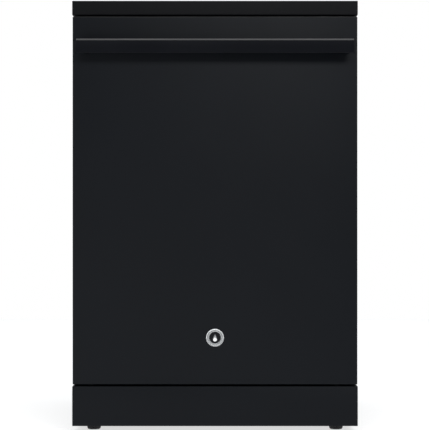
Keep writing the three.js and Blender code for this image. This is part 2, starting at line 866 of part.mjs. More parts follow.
const upperRackFrontY = linerFace + upperRackFront;
const upperRackBack = tubBack - lowerRackRear;
const runnerBottom = upperRackBottom + runnerRise;
const runnerTop = runnerBottom + runnerHeight;
const runnerFront = upperRackFrontY + runnerInset;
let upperRack = wireBasket({
  side: upperRackSide, front: upperRackFrontY, back: upperRackBack, bottom: upperRackBottom,
  top: upperRackBottom + upperRackHeight, lean: 0, along: 6, across: 5,
});
for (const side of [-1, 1]) {
  upperRack = upperRack.add(
    block(
      side * (upperRackSide - 1), side * (upperRackSide + runnerWidth),
      runnerFront, upperRackBack, runnerBottom, runnerTop,
    ),
  );
}
place('upper_rack', upperRack, 'coatedWire');
place(
  'upper_feed_pipe',
  block(-12, 12, hubY, upperRackBack, upperFeedBottom, upperRackBottom - gap).add(
    rod('z', 18, upperFeedBottom, upperRackBottom - gap, 0, hubY),
  ),
  'greyPlastic',
);

// Guides on the tub walls that carry the runners
for (const [name, side] of sides) {
  const runnerOut = upperRackSide + runnerWidth;
  const lipInner = side * (upperRackSide + guideClearance);
  const guideBack = side * (runnerOut + guideClearance);
  const guideOuter = side * (tubSide - gap);
  const guideFront = runnerFront - guideLength / 2;
  const guideRear = guideFront + guideLength;
  const guide = joined([
    block(guideBack, guideOuter, guideFront, guideRear, runnerBottom - guideLip - 4, runnerTop + guideLip + 4),
    block(lipInner, guideOuter, guideFront, guideRear, runnerTop + guideClearance, runnerTop + guideLip),
    block(lipInner, guideOuter, guideFront, guideRear, runnerBottom - guideLip, runnerBottom - guideClearance),
  ]);
  place(`rail_guide_${name}`, guide, 'whitePlastic');
}

// Lower rack on four wheels
const lowerRackBottom = tubFloor + lowerRackRise;
const lowerRackFrontY = linerFace + lowerRackFront;
const lowerRackBack = tubBack - lowerRackRear;
const trackTop = floorTop + trackHeight;
const axleZ = trackTop + gap + wheelRadius;
const wheelInner = lowerRackSide + 2;
const wheelPlaces = [];
for (const [name, side] of sides) {
  wheelPlaces.push([`front_${name}`, side, linerFace + frontWheelSpace]);
  wheelPlaces.push([`rear_${name}`, side, tubBack - rearWheelSpace]);
}
let lowerRack = wireBasket({
  side: lowerRackSide, front: lowerRackFrontY, back: lowerRackBack, bottom: lowerRackBottom,
  top: lowerRackBottom + lowerRackHeight, lean: lowerRackLean, along: 6, across: 5,
});
for (const [, side, y] of wheelPlaces) {
  lowerRack = lowerRack.add(
    block(side * (lowerRackSide - wire), side * lowerRackSide, y - 6, y + 6, axleZ - 6, lowerRackBottom + wire),
  );
  lowerRack = lowerRack.add(
    rod('x', axleRadius, side * (lowerRackSide - 1), side * (wheelInner + wheelWidth), y, axleZ, 12),
  );
}
place('lower_rack', lowerRack, 'coatedWire');
for (const [name, side, y] of wheelPlaces) {
  const wheel0 = side * wheelInner;
  const wheel1 = side * (wheelInner + wheelWidth);
  place(
    `rack_wheel_${name}`,
    rod('x', wheelRadius, wheel0, wheel1, y, axleZ, 24).subtract(
      rod('x', axleRadius + running, wheel0 - side, wheel1 + side, y, axleZ, 12),
    ),
    'greyPlastic',
  );
}

// Cutlery basket, standing in the left of the lower rack
const basketX0 = -lowerRackSide + 12;
const basketX1 = basketX0 + basketWidth;
const basketY0 = lowerRackFrontY + 20;
const basketY1 = basketY0 + basketLength;
const basketBottom = lowerRackBottom + wire + gap;
let cutleryBasket = block(basketX0, basketX1, basketY0, basketY1, basketBottom, basketBottom + basketHeight);
const cells = 4;
const cellLength = (basketLength - basketWall * (cells + 1)) / cells;
for (let i = 0; i < cells; i += 1) {
  const cellY = basketY0 + basketWall + i * (cellLength + basketWall);
  cutleryBasket = cutleryBasket.subtract(
    block(
      basketX0 + basketWall, basketX1 - basketWall, cellY, cellY + cellLength,
      basketBottom + basketWall, basketBottom + basketHeight + 1,
    ),
  );
}
place('cutlery_basket', cutleryBasket, 'greyPlastic');

export default dishwasher;
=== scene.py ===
# Freestanding black dishwasher: lid, drop-down door with a bar handle, tub, racks,
# spray arms, plinth and feet.
# Metres, +Z up, the door faces -Y. Places come from the frame's nodes.
import math

import bmesh
import bpy
import numpy as np
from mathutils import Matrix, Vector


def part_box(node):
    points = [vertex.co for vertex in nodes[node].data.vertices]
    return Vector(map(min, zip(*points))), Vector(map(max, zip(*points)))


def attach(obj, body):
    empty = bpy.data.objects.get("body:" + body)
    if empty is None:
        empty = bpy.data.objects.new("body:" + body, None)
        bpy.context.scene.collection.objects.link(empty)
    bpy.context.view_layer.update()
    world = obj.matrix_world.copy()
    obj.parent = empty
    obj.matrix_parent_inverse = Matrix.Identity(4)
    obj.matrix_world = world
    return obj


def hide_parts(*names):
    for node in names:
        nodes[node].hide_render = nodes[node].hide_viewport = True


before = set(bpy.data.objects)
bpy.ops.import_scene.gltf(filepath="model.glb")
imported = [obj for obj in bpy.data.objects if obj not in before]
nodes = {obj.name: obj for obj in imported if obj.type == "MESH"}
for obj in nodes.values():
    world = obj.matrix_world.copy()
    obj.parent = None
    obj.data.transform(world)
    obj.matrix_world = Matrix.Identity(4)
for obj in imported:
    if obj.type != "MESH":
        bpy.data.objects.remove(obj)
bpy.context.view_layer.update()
mm = 0.001
axisVectors = {"x": (1.0, 0.0, 0.0), "y": (0.0, 1.0, 0.0), "z": (0.0, 0.0, 1.0)}
sideNames = {"left": -1, "right": 1}


def corners(node):  # lowest and highest corner of a frame node
    low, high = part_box(node)
    return np.array(low), np.array(high)


def gridFaces(rows, columns, closeRows=False, closeColumns=False):
    # one quad between each four neighbours of a grid, wrapped round where it closes
    r = np.arange(rows if closeRows else rows - 1)[:, None]
    c = np.arange(columns if closeColumns else columns - 1)[None, :]
    nextRow = (r + 1) % rows
    nextColumn = (c + 1) % columns
    quads = [
        r * columns + c, r * columns + nextColumn, nextRow * columns + nextColumn, nextRow * columns + c,
    ]
    return np.stack(quads, axis=-1).reshape(-1, 4)


def unit(vectors):
    return vectors / np.maximum(np.linalg.norm(vectors, axis=-1, keepdims=True), 1e-12)


def ease(t):  # 0 below 0, 1 above 1, and 3t^2 - 2t^3 between
    t = np.clip(t, 0.0, 1.0)
    return t * t * (3.0 - 2.0 * t)


def lines(low, high, step, *wanted):  # even grid lines plus the wanted ones, without near doubles
    even = np.linspace(low, high, max(2, int(round((high - low) / step)) + 1))
    fixed = np.array([w for w in wanted if low < w < high])
    if len(fixed):
        clear = np.abs(even[:, None] - fixed[None, :]).min(axis=1) > 0.35 * step
        clear[[0, -1]] = True
        even = np.concatenate([even[clear], fixed])
    return np.unique(np.round(even, 7))


def bent(points, radius, steps=4, closed=False):
    # straight runs between the points, each corner a quadratic arc that starts and ends radius away from it
    p = np.asarray(points, float)
    before, here, after = (np.roll(p, 1, 0), p, np.roll(p, -1, 0)) if closed else (p[:-2], p[1:-1], p[2:])
    start = here + unit(before - here) * radius
    end = here + unit(after - here) * radius
    t = np.linspace(0, 1, steps + 1)[None, :, None]
    arcs = (
        (1 - t) ** 2 * start[:, None] + 2 * t * (1 - t) * here[:, None] + t**2 * end[:, None]
    ).reshape(-1, 3)
    return arcs if closed else np.vstack([p[:1], arcs, p[-1:]])


def swept(path, section, normal, closed=False):
    # the section's (u, v) loop carried along a flat path: point + u * normal + v * (direction x normal)
    path = np.asarray(path, float)
    section = np.asarray(section, float)
    step = np.roll(path, -1, 0) - np.roll(path, 1, 0) if closed else np.gradient(path, axis=0)
    normal = np.asarray(normal, float)
    across = np.cross(unit(step), normal)
    vertices = path[:, None] + section[None, :, :1] * normal + section[None, :, 1:] * across[:, None]
    sides = len(section)
    faces = gridFaces(len(path), sides, closeRows=closed, closeColumns=True).tolist()
    if not closed:
        last = (len(path) - 1) * sides
        faces += [list(range(sides))[::-1], list(range(last, last + sides))]
    return vertices.reshape(-1, 3), faces


def tube(path, radius, normal, sides=8, closed=False):  # a swept circle
    angle = np.linspace(0, 2 * math.pi, sides, endpoint=False)
    return swept(path, radius * np.stack([np.cos(angle), np.sin(angle)], axis=-1), normal, closed)


def repeated(part, offsets):  # the same part at each offset
    vertices, faces = part
    offsets = np.asarray(offsets, float).reshape(-1, 1, 3)
    count = len(vertices)
    moved = (np.asarray(vertices)[None] + offsets).reshape(-1, 3)
    return moved, [[i + k * count for i in face] for k in range(len(offsets)) for face in faces]


def turned(profile, centre, axis="z", sides=48, ripple=None):
    # rows of (radius, height) carried round the axis; ripple(angle, height) scales the radius
    profile = np.asarray(profile, float)
    angle = np.linspace(0, 2 * math.pi, sides, endpoint=False)[None, :]
    radius = np.broadcast_to(profile[:, :1], (len(profile), sides))
    height = np.broadcast_to(profile[:, 1:], (len(profile), sides))
    if ripple is not None:
        radius = radius * ripple(angle, height)
    along = np.array(axisVectors[axis])
    first = np.roll(along, 1)
    second = np.cross(along, first)
    spread = radius[..., None] * (np.cos(angle)[..., None] * first + np.sin(angle)[..., None] * second)
    vertices = (spread + height[..., None] * along + np.asarray(centre, float)).reshape(-1, 3)
    return vertices, gridFaces(len(profile), sides, closeColumns=True).tolist()


def roundLoop(halfWidth, halfHeight, radius, perCorner=6):
    # a rectangle whose corners are quarter circles, as (u, v) pairs in order
    quarter = np.linspace(0, math.pi / 2, perCorner)
    turn = np.arange(4)[:, None] * math.pi / 2
    u = radius * np.cos(quarter + turn) + (halfWidth - radius) * np.array([1, -1, -1, 1])[:, None]
    v = radius * np.sin(quarter + turn) + (halfHeight - radius) * np.array([1, 1, -1, -1])[:, None]
    return np.stack([u.ravel(), v.ravel()], axis=-1)


def loft(rings, capped=True):  # rings of equal count joined in order, with flat ends
    rings = np.asarray(rings, float)
    count, around = rings.shape[:2]
    faces = gridFaces(count, around, closeColumns=True).tolist()
    if capped:
        faces += [list(range(around))[::-1], list(range((count - 1) * around, count * around))]
    return rings.reshape(-1, 3), faces


def roundedBlock(low, high, radius, axis="z", steps=4, perCorner=5):
    # rounded rectangles stacked along the axis; the end ones shrink by radius * (1 - cos a) as they step in
    low, high = np.asarray(low, float), np.asarray(high, float)
    order = {"z": (0, 1, 2), "x": (1, 2, 0), "y": (2, 0, 1)}[axis]
    half = (high - low)[list(order)] / 2
    middle = (high + low)[list(order)] / 2
    a = np.linspace(0, math.pi / 2, steps)
    inset = radius * (1 - np.sin(a))
    rise = radius * (1 - np.cos(a))
    insets = np.concatenate([inset, inset[::-1]])
    heights = np.concatenate([-half[2] + rise, half[2] - rise[::-1]])
    loops = []
    for shrink, height in zip(insets, heights):
        uv = roundLoop(
            half[0] - shrink, half[1] - shrink, max(radius * 1.02 - shrink, 0.02 * radius), perCorner,
        )
        ring = np.empty((len(uv), 3))
        ring[:, order[0]] = uv[:, 0] + middle[0]
        ring[:, order[1]] = uv[:, 1] + middle[1]
        ring[:, order[2]] = height + middle[2]
        loops.append(ring)
    return loft(loops)


def sheetGrid(us, vs, place, keep=None):
    # a point for every crossing of the grid lines; keep says, at each square's middle, whether it is there
    u, v = np.meshgrid(us, vs, indexing="ij")
    faces = gridFaces(len(us), len(vs))
    if keep is not None:
        midU, midV = np.meshgrid((us[:-1] + us[1:]) / 2, (vs[:-1] + vs[1:]) / 2, indexing="ij")
        faces = faces[keep(midU, midV).ravel()]
    return place(u, v).reshape(-1, 3), faces.tolist()


def bead(distance, width):  # 1 on the line, 0 from width away, half a cosine between
    return 0.5 + 0.5 * np.cos(math.pi * np.clip(np.abs(distance) / width, 0.0, 1.0))


def screwHead(radius, height, out, side):
    # a domed disc: height * (1 - (r / radius)^2 / 2), less a cross near either middle line
    out, side = np.asarray(out, float), np.asarray(side, float)
    r = np.linspace(0.0, 1.0, 9)[:, None]
    angle = np.linspace(0, 2 * math.pi, 32, endpoint=False)[None, :]
    u, v = r * np.cos(angle), r * np.sin(angle)
    cross = (np.minimum(np.abs(u), np.abs(v)) < 0.13) & (r < 0.62)
    rise = height * (1 - 0.5 * r**2) * np.ones_like(u) - 0.6 * height * cross
    top = radius * (u[..., None] * side + v[..., None] * np.cross(out, side)) + rise[..., None] * out
    foot = top[-1:] - (0.5 * height) * out
    return np.vstack([top, foot]).reshape(-1, 3), gridFaces(10, 32, closeColumns=True).tolist()


def insideDepth(u, v, halfWidth, halfHeight, radius):
    # how far a point lies inside a rounded rectangle; negative outside
    qu = np.abs(u) - (halfWidth - radius)
    qv = np.abs(v) - (halfHeight - radius)
    outer = np.hypot(np.maximum(qu, 0), np.maximum(qv, 0))
    return radius - outer - np.minimum(np.maximum(qu, qv), 0)


def makePiece(name, parts, material, body, stands=(), outward=True, sharp=38, merge=1e-6):
    # parts are (vertices, faces) pairs, joined in one mesh; closed ones get their faces turned outward
    vertices = np.vstack([np.asarray(v, float).reshape(-1, 3) for v, f in parts])
    faces = []
    start = 0
    for v, f in parts:
        faces += [[int(i) + start for i in face] for face in f]
        start += len(np.asarray(v).reshape(-1, 3))
    mesh = bpy.data.meshes.new(name)
    mesh.from_pydata(vertices.tolist(), [], faces)
    work = bmesh.new()
    work.from_mesh(mesh)
    bmesh.ops.remove_doubles(work, verts=work.verts, dist=merge)
    bmesh.ops.delete(work, geom=[v for v in work.verts if not v.link_faces], context="VERTS")
    if outward:
        bmesh.ops.recalc_face_normals(work, faces=work.faces)
    work.to_mesh(mesh)
    work.free()
    mesh.shade_smooth()
    mesh.set_sharp_from_angle(angle=math.radians(sharp))
    mesh.materials.append(material)
    piece = bpy.data.objects.new(name, mesh)
    bpy.context.scene.collection.objects.link(piece)
    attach(piece, body)
    if stands:
        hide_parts(*stands)
    return piece


def thicken(piece, thickness, offset=-1.0):
    wall = piece.modifiers.new("wall", "SOLIDIFY")
    wall.thickness = thickness
    wall.offset = offset
    return piece


def softened(node, material, body, edge, segments=3):
    # a copy of the frame's node with its flat faces joined up and its sharp edges rounded
    source = nodes[node]
    mesh = source.data.copy()
    mesh.name = node + "Soft"
    work = bmesh.new()
    work.from_mesh(mesh)
    bmesh.ops.remove_doubles(work, verts=work.verts, dist=1e-6)
    bmesh.ops.dissolve_limit(work, angle_limit=math.radians(1.0), verts=work.verts, edges=work.edges)
    work.to_mesh(mesh)
    work.free()
    mesh.materials.clear()
    mesh.materials.append(material)
    mesh.shade_smooth()
    piece = bpy.data.objects.new(node + "Soft", mesh)
    bpy.context.scene.collection.objects.link(piece)
    bevel = piece.modifiers.new("edges", "BEVEL")
    bevel.width = edge
    bevel.segments = segments
    bevel.limit_method = "ANGLE"
    bevel.angle_limit = math.radians(40)
    bevel.harden_normals = True
    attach(piece, body)
    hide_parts(node)
    return piece


print("stage: frame loaded, %d nodes" % len(nodes))

studio = {
    "lens": 135.0,           # mm on a 36 mm sensor
    "pictureHeight": 0.9,    # of the door's plane
    "middle": 0.4559,        # camera height
    "overhead": (0.35, -3.5, 2.42, 4.2, 0.9, 92.0),  # x, y, z, width, depth, watts
    "front": (0.0, -4.6, 0.9, 3.4, 1.6, 1.0),
    "sideFill": (2.6, 0.2, 1.6, 2.0, 2.0, 7.0),
    "backFill": (0.0, 3.2, 1.9, 3.0, 1.6, 12.0),
    "ambient": 0.27,
    "floorGlow": 0.65,
    "floorReach": 3.4,
}


def makeCamera():
    data = bpy.data.cameras.new("studioCamera")
    data.lens = studio["lens"]
    data.sensor_width = 36.0
    data.clip_end = 60.0
    camera = bpy.data.objects.new("studioCamera", data)
    bpy.context.scene.collection.objects.link(camera)
    distance = studio["pictureHeight"] * studio["lens"] / data.sensor_width
    camera.location = (0.0, corners("plinth")[0][1] - distance, studio["middle"])
    camera.rotation_euler = (math.pi / 2, 0.0, 0.0)
    bpy.context.scene.camera = camera


def areaLight(name, place, target):
    x, y, z, width, depth, watts = place
    data = bpy.data.lights.new(name, "AREA")
    data.shape = "RECTANGLE"
    data.size = width
    data.size_y = depth
    data.energy = watts
    light = bpy.data.objects.new(name, data)
    light.location = (x, y, z)
    direction = np.array(target) - np.array([x, y, z])
    light.rotation_euler = (
        math.atan2(math.hypot(direction[0], direction[1]), -direction[2]),
        0.0,
        math.atan2(direction[0], -direction[1]) + math.pi,
    )
    bpy.context.scene.collection.objects.link(light)


def makeStudio():
    areaLight("overhead", studio["overhead"], (0.0, -0.2, 0.6))
    areaLight("front", studio["front"], (0.0, 0.0, 0.5))
    for side in (-1, 1):
        x, y, z, width, depth, watts = studio["sideFill"]
        areaLight("side%+d" % side, (side * x, y, z, width, depth, watts), (0.0, 0.0, 0.5))
    areaLight("back", studio["backFill"], (0.0, 0.3, 0.5))
    world = bpy.data.worlds.new("paleStudio")
    world.use_nodes = True
    tree = world.node_tree
    tree.nodes.clear()
    seen = tree.nodes.new("ShaderNodeBackground")
    seen.inputs["Strength"].default_value = 1.0
    seen.inputs["Color"].default_value = (1.0, 1.0, 1.0, 1.0)
    lit = tree.nodes.new("ShaderNodeBackground")
    lit.inputs["Strength"].default_value = studio["ambient"]
    lit.inputs["Color"].default_value = (0.93, 0.97, 1.0, 1.0)
    path = tree.nodes.new("ShaderNodeLightPath")
    mix = tree.nodes.new("ShaderNodeMixShader")
    out = tree.nodes.new("ShaderNodeOutputWorld")
    tree.links.new(path.outputs["Is Camera Ray"], mix.inputs["Fac"])
    tree.links.new(lit.outputs[0], mix.inputs[1])
    tree.links.new(seen.outputs[0], mix.inputs[2])
    tree.links.new(mix.outputs[0], out.inputs["Surface"])
    bpy.context.scene.world = world
    bpy.context.scene.view_settings.view_transform = "Standard"
    mesh = bpy.data.meshes.new("studioFloor")
    reach = studio["floorReach"]
    mesh.from_pydata(
        [(-reach, -reach, 0), (reach, -reach, 0), (reach, reach, 0), (-reach, reach, 0)], [],
        [(0, 1, 2, 3)],
    )
    floor = bpy.data.objects.new("studioFloor", mesh)
    bpy.context.scene.collection.objects.link(floor)
    paint = bpy.data.materials.new("paleFloor")
    paint.use_nodes = True
    shader = paint.node_tree.nodes["Principled BSDF"]
    shader.inputs["Base Color"].default_value = (0.82, 0.82, 0.82, 1.0)
    shader.inputs["Roughness"].default_value = 0.9
    shader.inputs["Specular IOR Level"].default_value = 0.1
    shader.inputs["Emission Color"].default_value = (1.0, 1.0, 1.0, 1.0)
    shader.inputs["Emission Strength"].default_value = studio["floorGlow"]
    mesh.materials.append(paint)


makeCamera()
makeStudio()
print("stage: camera, lights and floor")


def startMaterial(name, colour, roughness, metallic=0.0, specular=0.5):
    material = bpy.data.materials.new(name)
    material.use_nodes = True
    tree = material.node_tree
    shader = tree.nodes["Principled BSDF"]
    shader.inputs["Base Color"].default_value = (*colour, 1.0)
    shader.inputs["Roughness"].default_value = roughness
    shader.inputs["Metallic"].default_value = metallic
    shader.inputs["Specular IOR Level"].default_value = specular
    return material, tree, shader


def noise(
    tree, scale, detail=3.0, stretch=(1.0, 1.0, 1.0),
):  # noise on Object coordinates, stretched by axis
    coordinates = tree.nodes.new("ShaderNodeTexCoord")
    mapping = tree.nodes.new("ShaderNodeMapping")
    mapping.inputs["Scale"].default_value = stretch
    texture = tree.nodes.new("ShaderNodeTexNoise")
    texture.inputs["Scale"].default_value = scale
    texture.inputs["Detail"].default_value = detail
    tree.links.new(coordinates.outputs["Object"], mapping.inputs["Vector"])
    tree.links.new(mapping.outputs["Vector"], texture.inputs["Vector"])
    return texture.outputs["Fac"]


def varyRoughness(tree, shader, factor, low, high):
    spread = tree.nodes.new("ShaderNodeMapRange")
    spread.inputs["From Min"].default_value = 0.3
    spread.inputs["From Max"].default_value = 0.7
    spread.inputs["To Min"].default_value = low
    spread.inputs["To Max"].default_value = high
    tree.links.new(factor, spread.inputs["Value"])
    tree.links.new(spread.outputs["Result"], shader.inputs["Roughness"])


def varyColour(tree, shader, factor, dark, light, low=0.35, high=0.65):
    ramp = tree.nodes.new("ShaderNodeValToRGB")
    ramp.color_ramp.elements[0].position = low
    ramp.color_ramp.elements[1].position = high
    ramp.color_ramp.elements[0].color = (*dark, 1.0)
    ramp.color_ramp.elements[1].color = (*light, 1.0)
    tree.links.new(factor, ramp.inputs["Fac"])
    tree.links.new(ramp.outputs["Color"], shader.inputs["Base Color"])


def addBump(tree, shader, factor, strength, distance):
    bump = tree.nodes.new("ShaderNodeBump")
    bump.inputs["Strength"].default_value = strength
    bump.inputs["Distance"].default_value = distance
    tree.links.new(factor, bump.inputs["Height"])
    tree.links.new(bump.outputs["Normal"], shader.inputs["Normal"])


def powderCoat(name, colour, roughness=0.44, grain=1500.0, specular=0.12):
    # baked powder paint: faint orange peel, and a slow drift in shade and gloss
    material, tree, shader = startMaterial(name, colour, roughness, specular=specular)
    dark = tuple(c * 0.94 for c in colour)
    light = tuple(c * 1.06 for c in colour)
    varyColour(tree, shader, noise(tree, 3.0, 2.0), dark, light)
    varyRoughness(tree, shader, noise(tree, 7.0, 3.0), roughness - 0.03, roughness + 0.03)
    addBump(tree, shader, noise(tree, grain, 2.0), 0.16, 0.00008)
    return material


def laminate(name, colour):
    # board covering with a tight leather-like grain
    material, tree, shader = startMaterial(name, colour, 0.55, specular=0.12)
    varyColour(
        tree, shader, noise(tree, 420.0, 4.0), tuple(c * 0.86 for c in colour),
        tuple(c * 1.12 for c in colour),
    )
    varyRoughness(tree, shader, noise(tree, 600.0, 3.0), 0.5, 0.62)
    addBump(tree, shader, noise(tree, 900.0, 4.0), 0.3, 0.0001)
    return material


def mouldedPlastic(name, colour, roughness=0.5, grain=1100.0):
    material, tree, shader = startMaterial(name, colour, roughness, specular=0.45)
    varyColour(
        tree, shader, noise(tree, 18.0, 3.0), tuple(c * 0.93 for c in colour),
        tuple(c * 1.05 for c in colour),
    )
    varyRoughness(tree, shader, noise(tree, 35.0, 3.0), roughness - 0.05, roughness + 0.06)
    addBump(tree, shader, noise(tree, grain, 3.0), 0.22, 0.0001)
    return material


def brushedSteel(name, colour, roughness, stretch):
    # drawn sheet: fine noise pulled out along the brushing, in shade, gloss and relief
    material, tree, shader = startMaterial(name, colour, roughness, metallic=0.92)
    streak = noise(tree, 1500.0, 3.0, stretch)
    varyColour(tree, shader, streak, tuple(c * 0.93 for c in colour), colour)
    varyRoughness(tree, shader, streak, roughness - 0.04, roughness + 0.05)
    addBump(tree, shader, streak, 0.05, 0.00003)
    return material


def zincPlate(name):
    # zinc spangle: cells of differing shade
    material, tree, shader = startMaterial(name, (0.42, 0.44, 0.45), 0.45, metallic=0.9)
    coordinates = tree.nodes.new("ShaderNodeTexCoord")
    cells = tree.nodes.new("ShaderNodeTexVoronoi")
    cells.inputs["Scale"].default_value = 95.0
    tree.links.new(coordinates.outputs["Object"], cells.inputs["Vector"])
    varyColour(tree, shader, cells.outputs["Distance"], (0.36, 0.38, 0.39), (0.52, 0.54, 0.55), 0.1, 0.7)
    varyRoughness(tree, shader, noise(tree, 60.0, 2.0), 0.38, 0.55)
    addBump(tree, shader, noise(tree, 300.0, 2.0), 0.1, 0.0001)
    return material


def softRubber(name, colour):
    material, tree, shader = startMaterial(name, colour, 0.72, specular=0.3)
    varyColour(
        tree, shader, noise(tree, 40.0, 4.0), tuple(c * 0.8 for c in colour),
        tuple(c * 1.2 for c in colour),
    )
    varyRoughness(tree, shader, noise(tree, 120.0, 3.0), 0.65, 0.82)
    addBump(tree, shader, noise(tree, 1400.0, 3.0), 0.25, 0.0001)
    return material


def polished(name, colour, roughness):
    material, tree, shader = startMaterial(name, colour, roughness, metallic=1.0)
    varyRoughness(tree, shader, noise(tree, 90.0, 3.0), roughness * 0.8, roughness * 1.3)
    addBump(tree, shader, noise(tree, 500.0, 2.0), 0.03, 0.00005)
    return material


def glossWindow(name):
    material, tree, shader = startMaterial(name, (0.004, 0.004, 0.006), 0.09, specular=0.6)
    varyRoughness(tree, shader, noise(tree, 30.0, 3.0), 0.07, 0.13)
    shader.inputs["Coat Weight"].default_value = 0.6
    shader.inputs["Coat Roughness"].default_value = 0.05
    return material


def glowing(name, colour, strength):
    material, tree, shader = startMaterial(name, colour, 0.4)
    varyRoughness(tree, shader, noise(tree, 800.0, 2.0), 0.35, 0.45)
    shader.inputs["Emission Color"].default_value = (*colour, 1.0)
    shader.inputs["Emission Strength"].default_value = strength
    return material


def perforatedSteelWithPaintedHoleShade(name):
    # fine round holes in rows, drawn only in colour: where sin(kx) * sin(ky) is high the steel is painted near
    # black, painted shade standing in for the shaded space seen through holes the plate does not have
    material, tree, shader = startMaterial(name, (0.6, 0.61, 0.62), 0.34, metallic=1.0)
    coordinates = tree.nodes.new("ShaderNodeTexCoord")
    split = tree.nodes.new("ShaderNodeSeparateXYZ")
    tree.links.new(coordinates.outputs["Object"], split.inputs["Vector"])
    waves = []
    for axis in ("X", "Y"):
        scaled = tree.nodes.new("ShaderNodeMath")
        scaled.operation = "MULTIPLY"
        scaled.inputs[1].default_value = 2 * math.pi / 0.0034
        wave = tree.nodes.new("ShaderNodeMath")
        wave.operation = "SINE"
        tree.links.new(split.outputs[axis], scaled.inputs[0])
        tree.links.new(scaled.outputs[0], wave.inputs[0])
        waves.append(wave.outputs[0])
    both = tree.nodes.new("ShaderNodeMath")
    both.operation = "MULTIPLY"
    tree.links.new(waves[0], both.inputs[0])
    tree.links.new(waves[1], both.inputs[1])
    # the dark end of this ramp is painted shade in the hole spots, not a colour of the steel
    varyColour(tree, shader, both.outputs[0], (0.6, 0.61, 0.62), (0.03, 0.03, 0.03), 0.45, 0.55)
    return material


paint = {
    "black": powderCoat("blackPowderCoat", (0.0039, 0.0050, 0.0070)),
    "lid": laminate("blackLaminate", (0.0012, 0.0014, 0.0024)),
    "bar": powderCoat("blackBarCoat", (0.0011, 0.0016, 0.0034), 0.23, 1900.0, 0.19),
    "blackPlastic": mouldedPlastic("blackMoulding", (0.008, 0.0085, 0.010), 0.52),
    "greyPlastic": mouldedPlastic("greyMoulding", (0.30, 0.31, 0.32)),
    "paleGrey": mouldedPlastic("paleGreyMoulding", (0.46, 0.47, 0.48), 0.46),
    "whitePlastic": mouldedPlastic("whiteMoulding", (0.68, 0.69, 0.68), 0.45),
    "blue": mouldedPlastic("blueCap", (0.06, 0.16, 0.34), 0.42),
    "steelAcross": brushedSteel("linerSteel", (0.64, 0.65, 0.66), 0.42, (0.012, 1.0, 1.0)),
    "steelDeep": brushedSteel("tubSteel", (0.66, 0.67, 0.68), 0.38, (1.0, 0.012, 1.0)),
    "zinc": zincPlate("zincPlate"),
    "wire": mouldedPlastic("greyWireCoat", (0.36, 0.37, 0.385), 0.4, 700.0),
    "rubber": softRubber("blackRubber", (0.012, 0.012, 0.013)),
    "greyRubber": softRubber("greyRubber", (0.10, 0.10, 0.105)),
    "chrome": polished("badgeRing", (0.80, 0.81, 0.82), 0.14),
    "satin": polished("badgeBand", (0.42, 0.43, 0.44), 0.34),
    "enamel": powderCoat("badgeEnamel", (0.006, 0.007, 0.009), 0.3, 2500.0),
    "window": glossWindow("displayWindow"),
    "glow": glowing("indicator", (0.55, 0.85, 1.0), 0.35),
    "mesh": perforatedSteelWithPaintedHoleShade("filterMeshPaintedHoleShade"),
}
print("stage: %d finishes" % len(paint))


def makeCasing():
    softened("top_lid", paint["lid"], "cabinet", 0.9 * mm)
    for side in sideNames:
        softened("side_panel_" + side, paint["black"], "cabinet", 0.35 * mm, 2)
    softened("plinth", paint["black"], "cabinet", 0.7 * mm)
    softened("door_outer_panel", paint["black"], "door", 0.38 * mm, 2)
    softened("base_tray", paint["blackPlastic"], "cabinet", 0.8 * mm, 2)
    softened("front_rail", paint["zinc"], "cabinet", 0.3 * mm, 2)
    softened("control_housing", paint["blackPlastic"], "door", 0.5 * mm, 2)


handle = {"lip": 4.0 * mm, "lipDepth": 0.74 * mm, "edge": 0.5 * mm, "foot": 0.5 * mm, "end": 1.2 * mm}


def makeHandle():
    # the bar's section has a sloping lip along its upper front edge and a small slope along the lower one;
    # it is carried from end to end and shrinks a little where the ends are rounded over
    low, high = corners("handle_bar")
    outline = [
        (high[1], low[2]), (high[1], high[2]), (low[1] + handle["lipDepth"], high[2]),
        (low[1], high[2] - handle["lip"]),
        (low[1], low[2] + handle["foot"]), (low[1] + handle["foot"], low[2]),
    ]
    section = bent([(0.0, y, z) for y, z in outline], handle["edge"] * 0.5, 4, closed=True)
    middle = (low + high) / 2 * np.array([0, 1, 1])
    turn = np.linspace(0, math.pi / 2, 6)
    rings = []
    for side in (-1, 1):
        for a in turn[:: -side]:
            shrink = 1 - handle["end"] * (1 - math.cos(a)) / (6 * mm)
            ring = middle + (section - middle) * np.array([1, shrink, 1 - (1 - shrink) * 0.4])
            ring[:, 0] = side * (high[0] - handle["end"] * (1 - math.sin(math.pi / 2 - a)))
            rings.append(ring)
    makePiece("handleBar", [loft(rings)], paint["bar"], "door", ["handle_bar"], sharp=25)
    for side in sideNames:
        low, high = corners("handle_post_" + side)
        parts = [roundedBlock(low, high, 2.0 * mm, axis="y", steps=4)]
        makePiece(
            "handlePost_" + side, parts, paint["bar"], "door", ["handle_post_" + side],
            sharp=60,
        )


badge = {
    "rim": 0.9,       # shares of the badge's radius
    "band": 0.66,
    "dots": 48,
    "dropHeight": 0.62,
}


